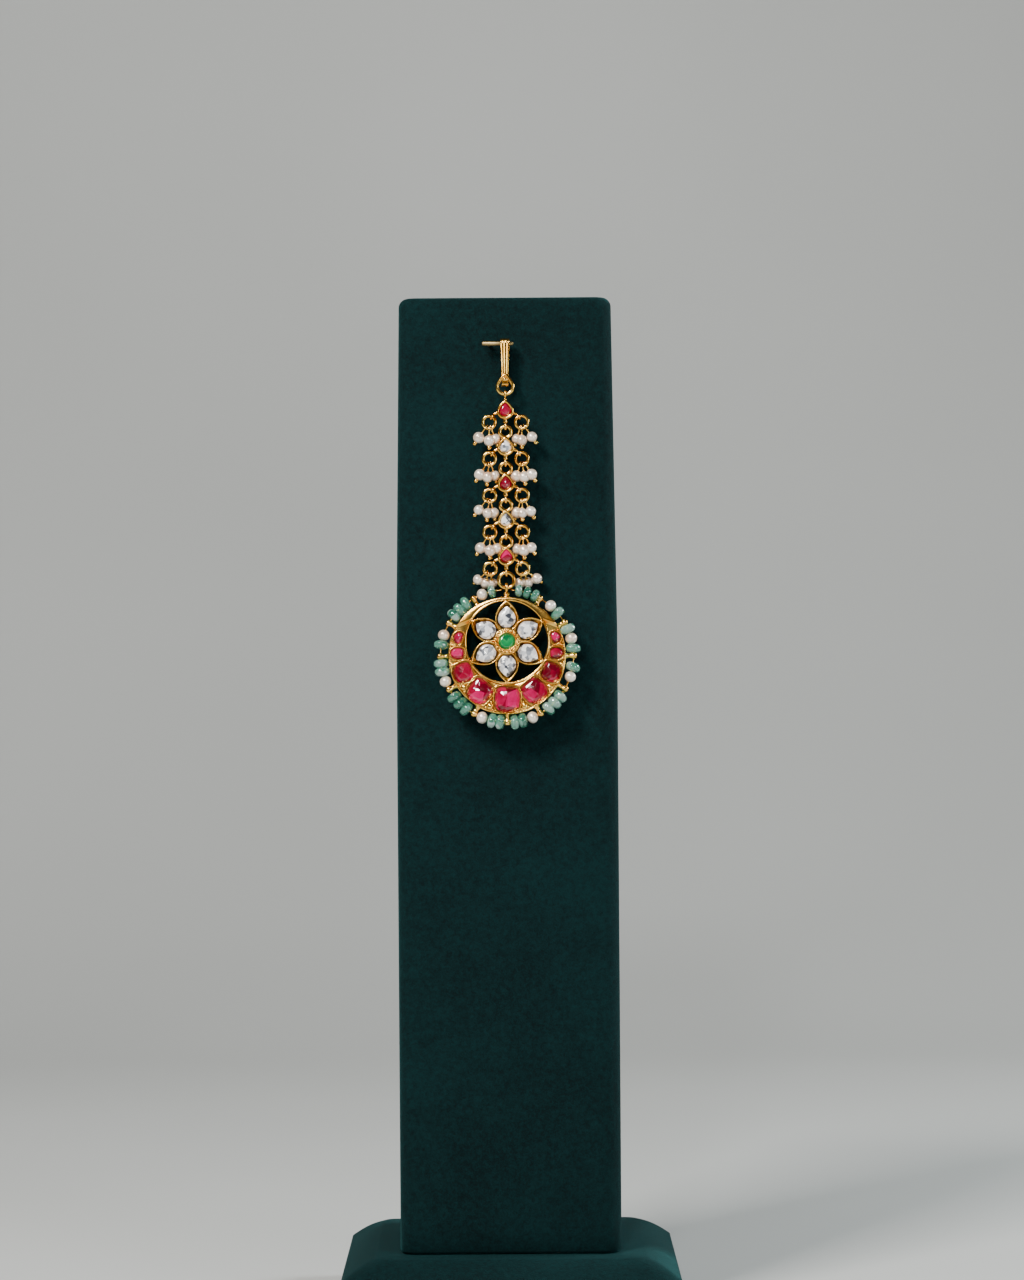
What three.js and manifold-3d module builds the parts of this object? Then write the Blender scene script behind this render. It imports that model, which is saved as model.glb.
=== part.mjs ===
// A maang tikka (forehead pendant on a jewelled chain) hanging from a pin in its velvet stand.
// Millimetres, +X right, +Y away from the viewer, +Z up. The stand's underside is z = 0.
import * as THREE from 'three';
import { mergeVertices } from 'three/addons/utils/BufferGeometryUtils.js';
import Module from 'manifold-3d';

const wasm = await Module();
wasm.setup();

// Stand
const BASE_WIDTH = 93;
const BASE_DEPTH = 90;
const BASE_HEIGHT = 18;
const BASE_SLOPE_WIDTH = 9.4;
const BASE_SLOPE_HEIGHT = 5;
const BASE_CORNER_RADIUS = 4;
const TOWER_WIDTH = 61;
const TOWER_TOP_WIDTH = 58.5;
const TOWER_DEPTH = 58;
const TOWER_HEIGHT = 263.2;
const TOWER_TAPER_SHARE = 0.65;
const TOWER_EDGE_RADIUS = 4;
const SEAT_GAP = 0.3;

// Pin and hook
const PIN_RADIUS = 0.6;
const PIN_BELOW_TOP = 13.1;
const PIN_LEFT = 6.3;
const PIN_RIGHT = 1.8;
const PIN_SHANK_X = -4.4;
const PIN_SHANK_DEPTH = 10;
const PIN_HOLE_CLEARANCE = 0.3;
const PIN_SHANK_RADIUS = 0.54;
const HOOK_WIDTH = 2.3;
const HOOK_THICKNESS = 0.6;
const HOOK_CLEARANCE = 0.25;
const HOOK_LEG = 9.7;
const HOOK_REAR_LEG = 11.7;
const HOOK_LOOP_RADIUS = 2.15;
const HOOK_LOOP_WIRE = 0.5;

// Chain of pear links
const CHAIN_STAND_OFF = 4.4;
const LINK_COUNT = 5;
const BEZEL_WIDTH = 4.6;
const BEZEL_HEIGHT = 5.3;
const BEZEL_DEPTH = 2;
const BEZEL_WALL = 0.55;
const BEZEL_FLOOR = 0.6;
const PEAR_TAPER = 0.42;
const PEAR_BULGE = 0.575;
const PEAR_POINT_WALL = 1.2;
const PEAR_STONE_PROUD = 0.25;
const PEAR_CROWN = 0.6;
const SOLDER_LAP = 0.4;
const LINK_RING_RADIUS = 1.53;
const LINK_RING_WIRE = 0.42;
const LINK_RING_LAP = 0.65;
const EYE_RADIUS = 0.95;
const EYE_WIRE = 0.28;
const STUB_RADIUS = 0.5;
const STUB_LENGTH = 0.95;
const BAIL_POST_LENGTH = 0.6;
const PENDANT_RING_RADIUS = 2.1;
const PENDANT_RING_WIRE = 0.5;

// Side rings and their pearl drops
const SIDE_RING_RADIUS = 1.7;
const SIDE_RING_WIRE = 0.36;
const SIDE_RING_X = 4.45;
const SIDE_RING_DROP = 3.45;
const SIDE_EYE_ANGLE = 60;
const SIDE_EYE_RADIUS = 0.8;
const SIDE_EYE_WIRE = 0.24;
const SIDE_ARM_RADIUS = 0.34;
const SIDE_ARM_START = [2.0, -0.8];
const PEARL_RADIUS = 1.5;
const DROP_LOOP_LENGTH = 2.6;
const DROP_LOOP_WIDTH = 1.5;
const DROP_LOOP_WIRE = 0.18;
const DROP_LOOP_RISE = 0.78;
// Each drop leans outward and toward the board by these angles, in degrees.
const DROP_LEANS = [[33, 2], [6, -4], [-17, 21]];
const LAST_DROP_LEANS = [[50, 30], [22, 45], [-6, 48]];

// Pendant
const DISC_RADIUS = 16.1;
const DISC_DEPTH = 2.6;
const OPENING_RADIUS = 11.1;
const OPENING_RISE = 3.85;
const OPENING_BAND = 0.6;
const OPENING_BAND_RISE = 0.5;
const CELL_WALL = 0.45;
const CELL_RISE = 0.4;
const POCKET_DEPTH = 1.5;
const RUBY_CROWN_SHARE = 0.2;
const RUBY_MARGIN = 1.05;
// Direction from straight down, width along the crescent, and squareness of each half's rubies.
const RUBIES = [
  { turn: 0, width: 7, power: 2.8 },
  { turn: 37.8, width: 6.7, power: 2.6 },
  { turn: 69.2, width: 5.6, power: 2.6 },
  { turn: 92.6, width: 3.3, power: 2 },
  { turn: 110.5, width: 3.4, power: 1.7 },
];
const PETAL_COUNT = 6;
const PETAL_WIDTH = 6.3;
const PETAL_INNER = 2.8;
const PETAL_WALL = 0.7;
const PETAL_DEPTH = 3.4;
const PETAL_RISE = 0.9;
// Where a petal's curve swells near its tip and its base, as shares of its width and length.
const PETAL_TIP_WIDTH = 0.5;
const PETAL_TIP_DROP = 0.26;
const PETAL_BASE_WIDTH = 0.74;
const PETAL_BASE_RISE = 0.3;
const PETAL_END_WIDTH = 0.2;
// How much thicker a petal's wall is at its base and its tip.
const PETAL_BASE_WALL = 1.5;
const PETAL_TIP_WALL = 2.6;
const PETAL_STONE_TIP_GAP = 2.5;
const PETAL_STONE_PROUD = 0.3;
const PETAL_CROWN = 0.9;
const PETAL_STEPS = 5;
const CUP_RADIUS = 3.5;
const CUP_STONE_RADIUS = 2.3;
const CUP_RISE = 1.3;
const CUP_STONE_PROUD = 0.5;
const CUP_CROWN = 0.7;
const STONE_GAP = 0.15;
const GIRDLE_SHARE = 0.3;
const PENDANT_BAIL_RADIUS = 1.25;
const PENDANT_BAIL_WIRE = 0.4;
const PENDANT_LEAN = 5;
const BAIL_NECK = 0.9;
const BAIL_FOOT_RADIUS = 1.4;
const BAIL_FOOT_TOP_RADIUS = 0.52;
const EYELET_STEP = 30;
const EYELET_RADIUS = 0.65;
const EYELET_REACH = 0.9;
const EYELET_CLEARANCE = 0.15;

// Bead strings
const STRING_RADIUS = 18.2;
const STRING_WIRE = 0.2;
const STRING_START = 6;
const STRING_END_GAP = 0.15;
const EMERALD_RADIUS = 1.95;
const EMERALD_LENGTH = 2.2;
const STRING_PEARL_RADIUS = 1.6;
const BEAD_GAP = 0.05;
const FIRST_GAP_TURN = 2.2;
// Each bead's length and radius, and its profile as shares of both.
const BEADS = {
  e: { length: EMERALD_LENGTH, radius: EMERALD_RADIUS, profile: [[0.03, 0.7], [0.5, 1], [0.97, 0.7]] },
  p: {
    length: 2 * STRING_PEARL_RADIUS,
    radius: STRING_PEARL_RADIUS,
    profile: [[0.06, 0.5], [0.24, 0.86], [0.5, 1], [0.76, 0.86], [0.94, 0.5]],
  },
};
// The beads of each gap between eyelets, from the bail down: e for emerald, p for pearl.
const RIGHT_GAPS = ['eee', 'pe', 'epe', 'ep', 'eee', 'pee'];
const LEFT_GAPS = ['ep', 'eee', 'pe', 'eep', 'eee', 'pee'];

// Mesh fineness
const RING_STEPS = 10;
const WIRE_SIDES = 5;
const BEAD_SIDES = 10;
const EYE_STEPS = 8;
const DISC_STEPS = 32;
const SIMPLIFY_WITHIN = 0.04;
const STONE_STEPS = 8;
const CELL_STEPS = 10;

const rad = THREE.MathUtils.degToRad;
const towerBottom = BASE_HEIGHT + SEAT_GAP;
const towerTop = towerBottom + TOWER_HEIGHT;
const boardY = -TOWER_DEPTH / 2;
const chainY = boardY - CHAIN_STAND_OFF;
const pinZ = towerTop - PIN_BELOW_TOP;
const hookBend = PIN_RADIUS + HOOK_CLEARANCE + HOOK_THICKNESS / 2;
const pinY = chainY + hookBend;
const hookLoopZ = pinZ - HOOK_LEG - HOOK_LOOP_RADIUS;
const hookSeatZ = hookLoopZ - HOOK_LOOP_RADIUS;
const bailCentre = BEZEL_HEIGHT / 2 + BAIL_POST_LENGTH + EYE_RADIUS;
const stubBottom = -BEZEL_HEIGHT / 2 - STUB_LENGTH;
const eyeCentre = stubBottom - EYE_RADIUS;
const linkRingCentre = BEZEL_HEIGHT / 2 - LINK_RING_LAP + LINK_RING_RADIUS + LINK_RING_WIRE;
const linkPitch = linkRingCentre + LINK_RING_RADIUS - eyeCentre;
const firstLinkZ = hookSeatZ - bailCentre;
const lastLinkZ = firstLinkZ - (LINK_COUNT - 1) * linkPitch;
const pendantRingZ = lastLinkZ + eyeCentre - PENDANT_RING_RADIUS;
const pivotZ = pendantRingZ - PENDANT_RING_RADIUS;
const bailReach = PENDANT_BAIL_RADIUS + PENDANT_BAIL_WIRE;
const discBelowPivot = DISC_RADIUS + bailReach + BAIL_NECK;
const half = DISC_DEPTH / 2;

const gold = { color: 0xd9a441, roughness: 0.3, metalness: 1 };
const finish = {
  velvet: { color: 0x12332f, roughness: 0.95, metalness: 0 },
  brass: { color: 0x9a7b3c, roughness: 0.4, metalness: 1 },
  gold,
  pearl: { color: 0xefe3d6, roughness: 0.3, metalness: 0 },
  ruby: { color: 0xb01045, roughness: 0.1, metalness: 0 },
  white: { color: 0xe8e6e2, roughness: 0.08, metalness: 0 },
  green: { color: 0x1f9a58, roughness: 0.1, metalness: 0 },
  emerald: { color: 0x7fbfa6, roughness: 0.2, metalness: 0 },
};

/** Turn a closed three.js geometry into a manifold solid. */
function solid(geometry) {
  const bare = geometry.index ? geometry.clone() : geometry;
  bare.deleteAttribute('normal');
  bare.deleteAttribute('uv');
  const merged = mergeVertices(bare, 1e-4);
  const mesh = new wasm.Mesh({
    numProp: 3,
    vertProperties: new Float32Array(merged.attributes.position.array),
    triVerts: new Uint32Array(merged.index.array),
  });
  return new wasm.Manifold(mesh);
}

/** Join geometries into one solid. */
function join(geometries) {
  return geometries.map(solid).reduce((sum, next) => sum.add(next));
}

/** Cut geometries out of a solid. */
function cut(body, geometries) {
  return geometries.map(solid).reduce((rest, next) => rest.subtract(next), body);
}

/** Make the named mesh of a solid, in one of the finishes. */
function named(name, body, look) {
  const result = body.simplify(SIMPLIFY_WITHIN).getMesh();
  const geometry = new THREE.BufferGeometry();
  geometry.setAttribute('position', new THREE.BufferAttribute(new Float32Array(result.vertProperties), 3));
  geometry.setIndex(new THREE.BufferAttribute(new Uint32Array(result.triVerts), 1));
  geometry.computeVertexNormals();
  const mesh = new THREE.Mesh(geometry, new THREE.MeshStandardMaterial(look));
  mesh.name = name;
  return mesh;
}

/** Extrude a shape drawn in the X-Z plane from y = back toward the viewer. */
function plate(shape, back, depth, curveSegments = 12) {
  const options = { depth, bevelEnabled: false, curveSegments };
  return new THREE.ExtrudeGeometry(shape, options).rotateX(Math.PI / 2).translate(0, back, 0);
}

/** A rounded rectangle centred on the origin. */
function roundedRect(width, height, radius) {
  const x = width / 2 - radius;
  const y = height / 2 - radius;
  const shape = new THREE.Shape();
  shape.absarc(x, y, radius, 0, Math.PI / 2);
  shape.absarc(-x, y, radius, Math.PI / 2, Math.PI);
  shape.absarc(-x, -y, radius, Math.PI, Math.PI * 1.5);
  shape.absarc(x, -y, radius, Math.PI * 1.5, Math.PI * 2);
  return shape;
}

/** A circle as a shape or hole. */
function circle(radius, x = 0, y = 0) {
  return new THREE.Shape().absarc(x, y, radius, 0, Math.PI * 2);
}

/** A closed outline through points given by a function of the turn, 0 to 1. */
function outline(steps, pointAt) {
  const points = [];
  for (let i = 0; i < steps; i += 1) points.push(pointAt(i / steps));
  return new THREE.Shape(points);
}

/** A superellipse: power 2 is an ellipse, more is squarer. */
function squircle(width, height, power, steps = CELL_STEPS) {
  return outline(steps, (share) => {
    const turn = share * 2 * Math.PI;
    const c = Math.cos(turn);
    const s = Math.sin(turn);
    const x = Math.sign(c) * Math.abs(c) ** (2 / power) * width / 2;
    const y = Math.sign(s) * Math.abs(s) ** (2 / power) * height / 2;
    return new THREE.Vector2(x, y);
  });
}

/** A pear with its point up, filling width by height and centred on the origin. */
function pear(width, height, steps = 12) {
  return outline(steps, (share) => {
    const turn = (share + 0.25) * 2 * Math.PI;
    const rise = Math.sin(turn);
    const taper = 1 - PEAR_TAPER * ((rise + 1) / 2) ** 1.5;
    return new THREE.Vector2(Math.cos(turn) * taper * width * PEAR_BULGE, rise * height / 2);
  });
}

/** A petal from its inner end to its pointed tip, along +Y of the shape. */
function petal(width, inner, tip) {
  const length = tip - inner;
  const shape = new THREE.Shape();
  const nearTip = [width * PETAL_TIP_WIDTH, tip - length * PETAL_TIP_DROP];
  const nearBase = [width * PETAL_BASE_WIDTH, inner + length * PETAL_BASE_RISE];
  const end = width * PETAL_END_WIDTH;
  shape.moveTo(0, tip);
  shape.bezierCurveTo(-nearTip[0], nearTip[1], -nearBase[0], nearBase[1], -end, inner);
  shape.lineTo(end, inner);
  shape.bezierCurveTo(nearBase[0], nearBase[1], nearTip[0], nearTip[1], 0, tip);
  return shape;
}

/** A ring in the X-Z plane, or in the plane of +Y and a direction in X-Z when turned. */
function ring(radius, wire, at, across = null, steps = RING_STEPS) {
  const torus = new THREE.TorusGeometry(radius, wire, WIRE_SIDES, steps);
  if (across === null) torus.rotateX(Math.PI / 2);
  else torus.rotateY(-across);
  return torus.translate(...at);
}

/** A round bar between two points. */
function bar(from, to, radius, sides = 8, endRadius = radius) {
  const a = new THREE.Vector3(...from);
  const b = new THREE.Vector3(...to);
  const along = b.clone().sub(a);
  const turn = new THREE.Quaternion().setFromUnitVectors(
    new THREE.Vector3(0, 1, 0),
    along.clone().normalize(),
  );
  const middle = a.add(b).multiplyScalar(0.5);
  return new THREE.CylinderGeometry(endRadius, radius, along.length(), sides)
    .applyQuaternion(turn)
    .translate(middle.x, middle.y, middle.z);
}

/** A ball with its poles along Z. */
function ball(radius, at, sides = BEAD_SIDES, rows = 4) {
  return new THREE.SphereGeometry(radius, sides, rows).rotateX(Math.PI / 2).translate(...at);
}

/** A cut stone: table, crown facets, girdle and pavilion facets, with its girdle on the outline. */
function gem(shape, back, depth, bevel) {
  const slope = depth * (1 - GIRDLE_SHARE) / 2;
  const options = {
    depth: depth * GIRDLE_SHARE,
    bevelThickness: slope,
    bevelSize: bevel,
    bevelOffset: -bevel,
    bevelSegments: 1,
    curveSegments: STONE_STEPS / 2,
  };
  return new THREE.ExtrudeGeometry(shape, options)
    .translate(0, 0, slope)
    .rotateX(Math.PI / 2)
    .translate(0, back, 0);
}

/** The velvet plinth: a flat plateau, a sloping border and upright sides. */
function standBase() {
  const plateau = roundedRect(
    BASE_WIDTH - 2 * BASE_SLOPE_WIDTH,
    BASE_DEPTH - 2 * BASE_SLOPE_WIDTH,
    BASE_CORNER_RADIUS,
  );
  const block = new THREE.ExtrudeGeometry(plateau, {
    depth: BASE_HEIGHT,
    bevelThickness: BASE_SLOPE_HEIGHT,
    bevelSize: BASE_SLOPE_WIDTH,
    bevelSegments: 2,
    curveSegments: 4,
  }).translate(0, 0, -BASE_SLOPE_HEIGHT);
  const trim = new THREE.BoxGeometry(BASE_WIDTH * 2, BASE_DEPTH * 2, BASE_HEIGHT)
    .translate(0, 0, BASE_HEIGHT / 2);
  return solid(block).intersect(solid(trim));
}

/** The upright block, with rounded edges, a slight taper and a hole for the pin's shank. */
function standTower() {
  const radius = TOWER_EDGE_RADIUS;
  const low = TOWER_WIDTH / 2 - radius;
  const high = TOWER_TOP_WIDTH / 2 - radius;
  const top = towerTop - radius;
  const shape = new THREE.Shape();
  shape.moveTo(-low, 0);
  shape.lineTo(low, 0);
  shape.lineTo(low, towerBottom + TOWER_HEIGHT * TOWER_TAPER_SHARE);
  shape.lineTo(high, top);
  shape.lineTo(-high, top);
  shape.lineTo(-low, towerBottom + TOWER_HEIGHT * TOWER_TAPER_SHARE);
  const block = new THREE.ExtrudeGeometry(shape, {
    depth: TOWER_DEPTH - 2 * radius,
    bevelThickness: radius,
    bevelSize: radius,
    bevelSegments: 4,
  }).rotateX(Math.PI / 2).translate(0, TOWER_DEPTH / 2 - radius, 0);
  const trim = new THREE.BoxGeometry(TOWER_WIDTH * 2, TOWER_DEPTH * 2, TOWER_HEIGHT)
    .translate(0, 0, towerBottom + TOWER_HEIGHT / 2);
  const holeEnd = boardY + PIN_SHANK_DEPTH + PIN_HOLE_CLEARANCE;
  const hole = bar(
    [PIN_SHANK_X, boardY - 1, pinZ],
    [PIN_SHANK_X, holeEnd, pinZ],
    PIN_SHANK_RADIUS + PIN_HOLE_CLEARANCE,
  );
  return cut(solid(block).intersect(solid(trim)), [hole]);
}

/** The pin: a crossbar that the hook hangs over and a shank into the tower. */
function displayPin() {
  return join([
    bar([-PIN_LEFT, pinY, pinZ], [PIN_RIGHT, pinY, pinZ], PIN_RADIUS, BEAD_SIDES),
    ball(PIN_RADIUS, [PIN_RIGHT, pinY, pinZ]),
    bar([PIN_SHANK_X, pinY, pinZ], [PIN_SHANK_X, boardY + PIN_SHANK_DEPTH, pinZ], PIN_SHANK_RADIUS),
  ]);
}

/** The hook: a flat strip bent over the pin, with a round loop at its front end. */
function earHook() {
  const outer = hookBend + HOOK_THICKNESS / 2;
  const inner = hookBend - HOOK_THICKNESS / 2;
  const front = pinZ - HOOK_LEG;
  const rear = pinZ - HOOK_REAR_LEG;
  const shape = new THREE.Shape();
  shape.moveTo(outer, rear);
  shape.absarc(0, pinZ, outer, 0, Math.PI);
  shape.lineTo(-outer, front);
  shape.lineTo(-inner, front);
  shape.absarc(0, pinZ, inner, Math.PI, 0, true);
  shape.lineTo(inner, rear);
  const strip = new THREE.ExtrudeGeometry(shape, {
    depth: HOOK_WIDTH,
    bevelEnabled: false,
    curveSegments: 8,
  }).rotateX(Math.PI / 2).rotateZ(Math.PI / 2).translate(-HOOK_WIDTH / 2, pinY, 0);
  return join([strip, ring(HOOK_LOOP_RADIUS, HOOK_LOOP_WIRE, [0, chainY, hookLoopZ])]);
}

/** Where a link's side ring is centred, and where its eye and arm meet, on the given side. */
function sidePlaces(side) {
  const centre = [side * SIDE_RING_X, -SIDE_RING_DROP];
  const angle = rad(SIDE_EYE_ANGLE);
  const toward = [-side * Math.cos(angle), Math.sin(angle)];
  const eye = centre.map((value, i) => value + toward[i] * SIDE_RING_RADIUS);
  const arm = centre.map((value, i) => value + toward[i] * (SIDE_RING_RADIUS + SIDE_EYE_RADIUS));
  return { centre, eye, arm, across: Math.atan2(toward[1], toward[0]) };
}

/** One pear link: bezel, top ring or bail, bottom stub with its eye, and two side arms. */
function pearLink(index) {
  const z = firstLinkZ - index * linkPitch;
  const back = BEZEL_DEPTH / 2;
  const parts = [
    plate(pear(BEZEL_WIDTH, BEZEL_HEIGHT), back, BEZEL_DEPTH),
    bar([0, 0, SOLDER_LAP - BEZEL_HEIGHT / 2], [0, 0, stubBottom], STUB_RADIUS),
    ring(EYE_RADIUS, EYE_WIRE, [0, 0, eyeCentre], Math.PI / 2, EYE_STEPS),
  ];
  if (index === 0) {
    parts.push(bar([0, 0, BEZEL_HEIGHT / 2 - SOLDER_LAP], [0, 0, bailCentre - EYE_RADIUS], STUB_RADIUS));
    parts.push(ring(EYE_RADIUS, EYE_WIRE, [0, 0, bailCentre], Math.PI / 2));
  } else {
    parts.push(ring(LINK_RING_RADIUS, LINK_RING_WIRE, [0, 0, linkRingCentre]));
  }
  for (const side of [-1, 1]) {
    const { eye, arm, across } = sidePlaces(side);
    const [startX, startZ] = SIDE_ARM_START;
    parts.push(ring(SIDE_EYE_RADIUS, SIDE_EYE_WIRE, [eye[0], 0, eye[1]], across, EYE_STEPS));
    parts.push(bar([side * startX, 0, startZ], [arm[0], 0, arm[1]], SIDE_ARM_RADIUS, 6));
  }
  const pocket = pear(BEZEL_WIDTH - 2 * BEZEL_WALL, BEZEL_HEIGHT - 2 * PEAR_POINT_WALL * BEZEL_WALL);
  const floor = back - BEZEL_FLOOR;
  return cut(join(parts), [plate(pocket, floor, BEZEL_DEPTH)]).translate(0, chainY, z);
}

/** The stone of one pear link. */
function pearStone(index) {
  const z = firstLinkZ - index * linkPitch;
  const inset = 2 * (BEZEL_WALL + STONE_GAP);
  const shape = pear(BEZEL_WIDTH - inset, BEZEL_HEIGHT - PEAR_POINT_WALL * inset, STONE_STEPS);
  const back = BEZEL_DEPTH / 2 - BEZEL_FLOOR - STONE_GAP;
  const depth = BEZEL_DEPTH - BEZEL_FLOOR + PEAR_STONE_PROUD;
  return solid(gem(shape, back, depth, PEAR_CROWN)).translate(0, chainY, z);
}

/** The three fused pearl drops of one side ring. */
function pearlDrops(index, side) {
  const leans = index === LINK_COUNT - 1 ? LAST_DROP_LEANS : DROP_LEANS;
  const parts = [];
  for (const [outward, backward] of leans) {
    const out = rad(outward) * side;
    const along = new THREE.Vector3(Math.sin(out), Math.tan(rad(backward)), -Math.cos(out)).normalize();
    const start = new THREE.Vector3(Math.sin(out), 0, -Math.cos(out)).multiplyScalar(SIDE_RING_RADIUS);
    const at = (distance) => start.clone().addScaledVector(along, distance).toArray();
    const turn = new THREE.Quaternion().setFromUnitVectors(new THREE.Vector3(0, 0, -1), along);
    const loop = new THREE.TorusGeometry(1, DROP_LOOP_WIRE, WIRE_SIDES, EYE_STEPS)
      .rotateY(Math.PI / 2)
      .scale(1, DROP_LOOP_WIDTH / 2, DROP_LOOP_LENGTH / 2)
      .applyQuaternion(turn)
      .translate(...at(DROP_LOOP_LENGTH / 2 - DROP_LOOP_RISE));
    const pearlAt = DROP_LOOP_LENGTH - DROP_LOOP_RISE + PEARL_RADIUS;
    parts.push(loop);
    parts.push(ball(PEARL_RADIUS, at(pearlAt)));
  }
  const z = firstLinkZ - index * linkPitch - SIDE_RING_DROP;
  return join(parts).translate(side * SIDE_RING_X, chainY, z);
}

/** Where the crescent's band starts and ends in a direction measured from straight down. */
function crescentBand(turn) {
  const reach = OPENING_RADIUS + OPENING_BAND;
  const across = OPENING_RISE * Math.sin(turn);
  const inner = Math.sqrt(reach ** 2 - across ** 2) - OPENING_RISE * Math.cos(turn);
  return [inner, DISC_RADIUS];
}

/** The rubies of the crescent, left to right, with their place, size and turn. */
function rubyPlaces() {
  const places = [];
  for (const side of [-1, 1]) {
    for (const [row, { turn, width, power }] of RUBIES.entries()) {
      if (row === 0 && side === 1) continue;
      const angle = rad(turn);
      const [inner, outer] = crescentBand(angle);
      places.push({
        order: side * turn,
        centre: (inner + outer) / 2,
        height: outer - inner - RUBY_MARGIN,
        width,
        power,
        turn: side * angle,
      });
    }
  }
  return places.sort((a, b) => a.order - b.order);
}

/** Draw geometry made for straight down at its ruby's direction. */
function atRuby(geometry, place) {
  return geometry.translate(0, 0, -place.centre).rotateY(-place.turn);
}

/** Place geometry made for straight up at one petal's direction, round the flower's centre. */
function atPetal(geometry, index) {
  return geometry.rotateY(index * 2 * Math.PI / PETAL_COUNT).translate(0, 0, OPENING_RISE);
}

/** The soldered frame: crescent, bands, cells, flower, centre cup, bail and eyelets. */
function pendantFrame() {
  const disc = circle(DISC_RADIUS);
  disc.holes.push(circle(OPENING_RADIUS, 0, OPENING_RISE));
  const band = circle(OPENING_RADIUS + OPENING_BAND, 0, OPENING_RISE);
  band.holes.push(circle(OPENING_RADIUS, 0, OPENING_RISE));
  const parts = [
    plate(disc, half, DISC_DEPTH, DISC_STEPS / 2),
    plate(band, half, DISC_DEPTH + OPENING_BAND_RISE, DISC_STEPS / 2),
  ];
  const pockets = [];
  for (const place of rubyPlaces()) {
    const { width, height, power } = place;
    const collar = squircle(width + 2 * CELL_WALL, height + 2 * CELL_WALL, power);
    parts.push(atRuby(plate(collar, half, DISC_DEPTH + CELL_RISE), place));
    pockets.push(atRuby(plate(squircle(width, height, power), POCKET_DEPTH - half, 2 * DISC_DEPTH), place));
  }
  const petalFront = half + PETAL_RISE;
  const tip = OPENING_RADIUS + OPENING_BAND / 2;
  for (let index = 0; index < PETAL_COUNT; index += 1) {
    const cell = petal(PETAL_WIDTH, PETAL_INNER, tip);
    parts.push(atPetal(plate(cell, PETAL_DEPTH - petalFront, PETAL_DEPTH, PETAL_STEPS), index));
    const pocket = petal(
      PETAL_WIDTH - 2 * PETAL_WALL,
      PETAL_INNER + PETAL_BASE_WALL * PETAL_WALL,
      tip - PETAL_TIP_WALL * PETAL_WALL,
    );
    pockets.push(atPetal(plate(pocket, POCKET_DEPTH - petalFront, 2 * DISC_DEPTH, PETAL_STEPS), index));
  }
  const cupFront = -half - CUP_RISE;
  const cupBack = PETAL_DEPTH - petalFront;
  const cup = plate(circle(CUP_RADIUS), cupBack, cupBack - cupFront, STONE_STEPS);
  parts.push(cup.translate(0, 0, OPENING_RISE));
  const cupPocket = plate(circle(CUP_STONE_RADIUS), cupFront + POCKET_DEPTH, 2 * DISC_DEPTH, STONE_STEPS);
  pockets.push(cupPocket.translate(0, 0, OPENING_RISE));
  const body = cut(join(parts), pockets);

  const trimmings = [];
  const bores = [];
  for (let turn = EYELET_STEP; turn < 360; turn += EYELET_STEP) {
    const angle = Math.PI / 2 - rad(turn);
    const spot = (distance) => [Math.cos(angle) * distance, 0, Math.sin(angle) * distance];
    const post = bar(spot(DISC_RADIUS - SOLDER_LAP), spot(STRING_RADIUS + EYELET_REACH), EYELET_RADIUS, 6);
    const tangent = [Math.sin(angle), 0, -Math.cos(angle)].map((value) => value * 2 * EYELET_RADIUS);
    const near = spot(STRING_RADIUS).map((value, axis) => value - tangent[axis]);
    const far = spot(STRING_RADIUS).map((value, axis) => value + tangent[axis]);
    trimmings.push(post);
    bores.push(bar(near, far, STRING_WIRE + EYELET_CLEARANCE, 6));
  }
  const footTop = discBelowPivot - PENDANT_BAIL_RADIUS;
  const footBottom = DISC_RADIUS - SOLDER_LAP;
  trimmings.push(bar([0, 0, footBottom], [0, 0, footTop], BAIL_FOOT_RADIUS, 8, BAIL_FOOT_TOP_RADIUS));
  const bail = ring(PENDANT_BAIL_RADIUS, PENDANT_BAIL_WIRE, [0, 0, discBelowPivot], Math.PI / 2);
  trimmings.push(bail);
  return cut(body.add(join(trimmings)), bores);
}

/** One ruby of the crescent. */
function ruby(place) {
  const width = place.width - 2 * STONE_GAP;
  const height = place.height - 2 * STONE_GAP;
  const shape = squircle(width, height, place.power, STONE_STEPS);
  const back = POCKET_DEPTH - half - STONE_GAP;
  const crown = Math.min(width, height) * RUBY_CROWN_SHARE;
  return solid(atRuby(gem(shape, back, POCKET_DEPTH + CELL_RISE, crown), place));
}

/** One white petal stone. */
function petalStone(index) {
  const tip = OPENING_RADIUS + OPENING_BAND / 2 - PETAL_TIP_WALL * PETAL_WALL;
  const shape = petal(
    PETAL_WIDTH - 2 * PETAL_WALL - 2 * STONE_GAP,
    PETAL_INNER + PETAL_BASE_WALL * PETAL_WALL + STONE_GAP,
    tip - PETAL_STONE_TIP_GAP * STONE_GAP,
  );
  const back = POCKET_DEPTH - half - PETAL_RISE - STONE_GAP;
  return solid(atPetal(gem(shape, back, POCKET_DEPTH + PETAL_STONE_PROUD, PETAL_CROWN), index));
}

/** The round stone in the centre cup. */
function centreStone() {
  const shape = circle(CUP_STONE_RADIUS - STONE_GAP);
  const back = POCKET_DEPTH - half - CUP_RISE - STONE_GAP;
  return solid(gem(shape, back, POCKET_DEPTH + CUP_STONE_PROUD, CUP_CROWN)).translate(0, 0, OPENING_RISE);
}

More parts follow.
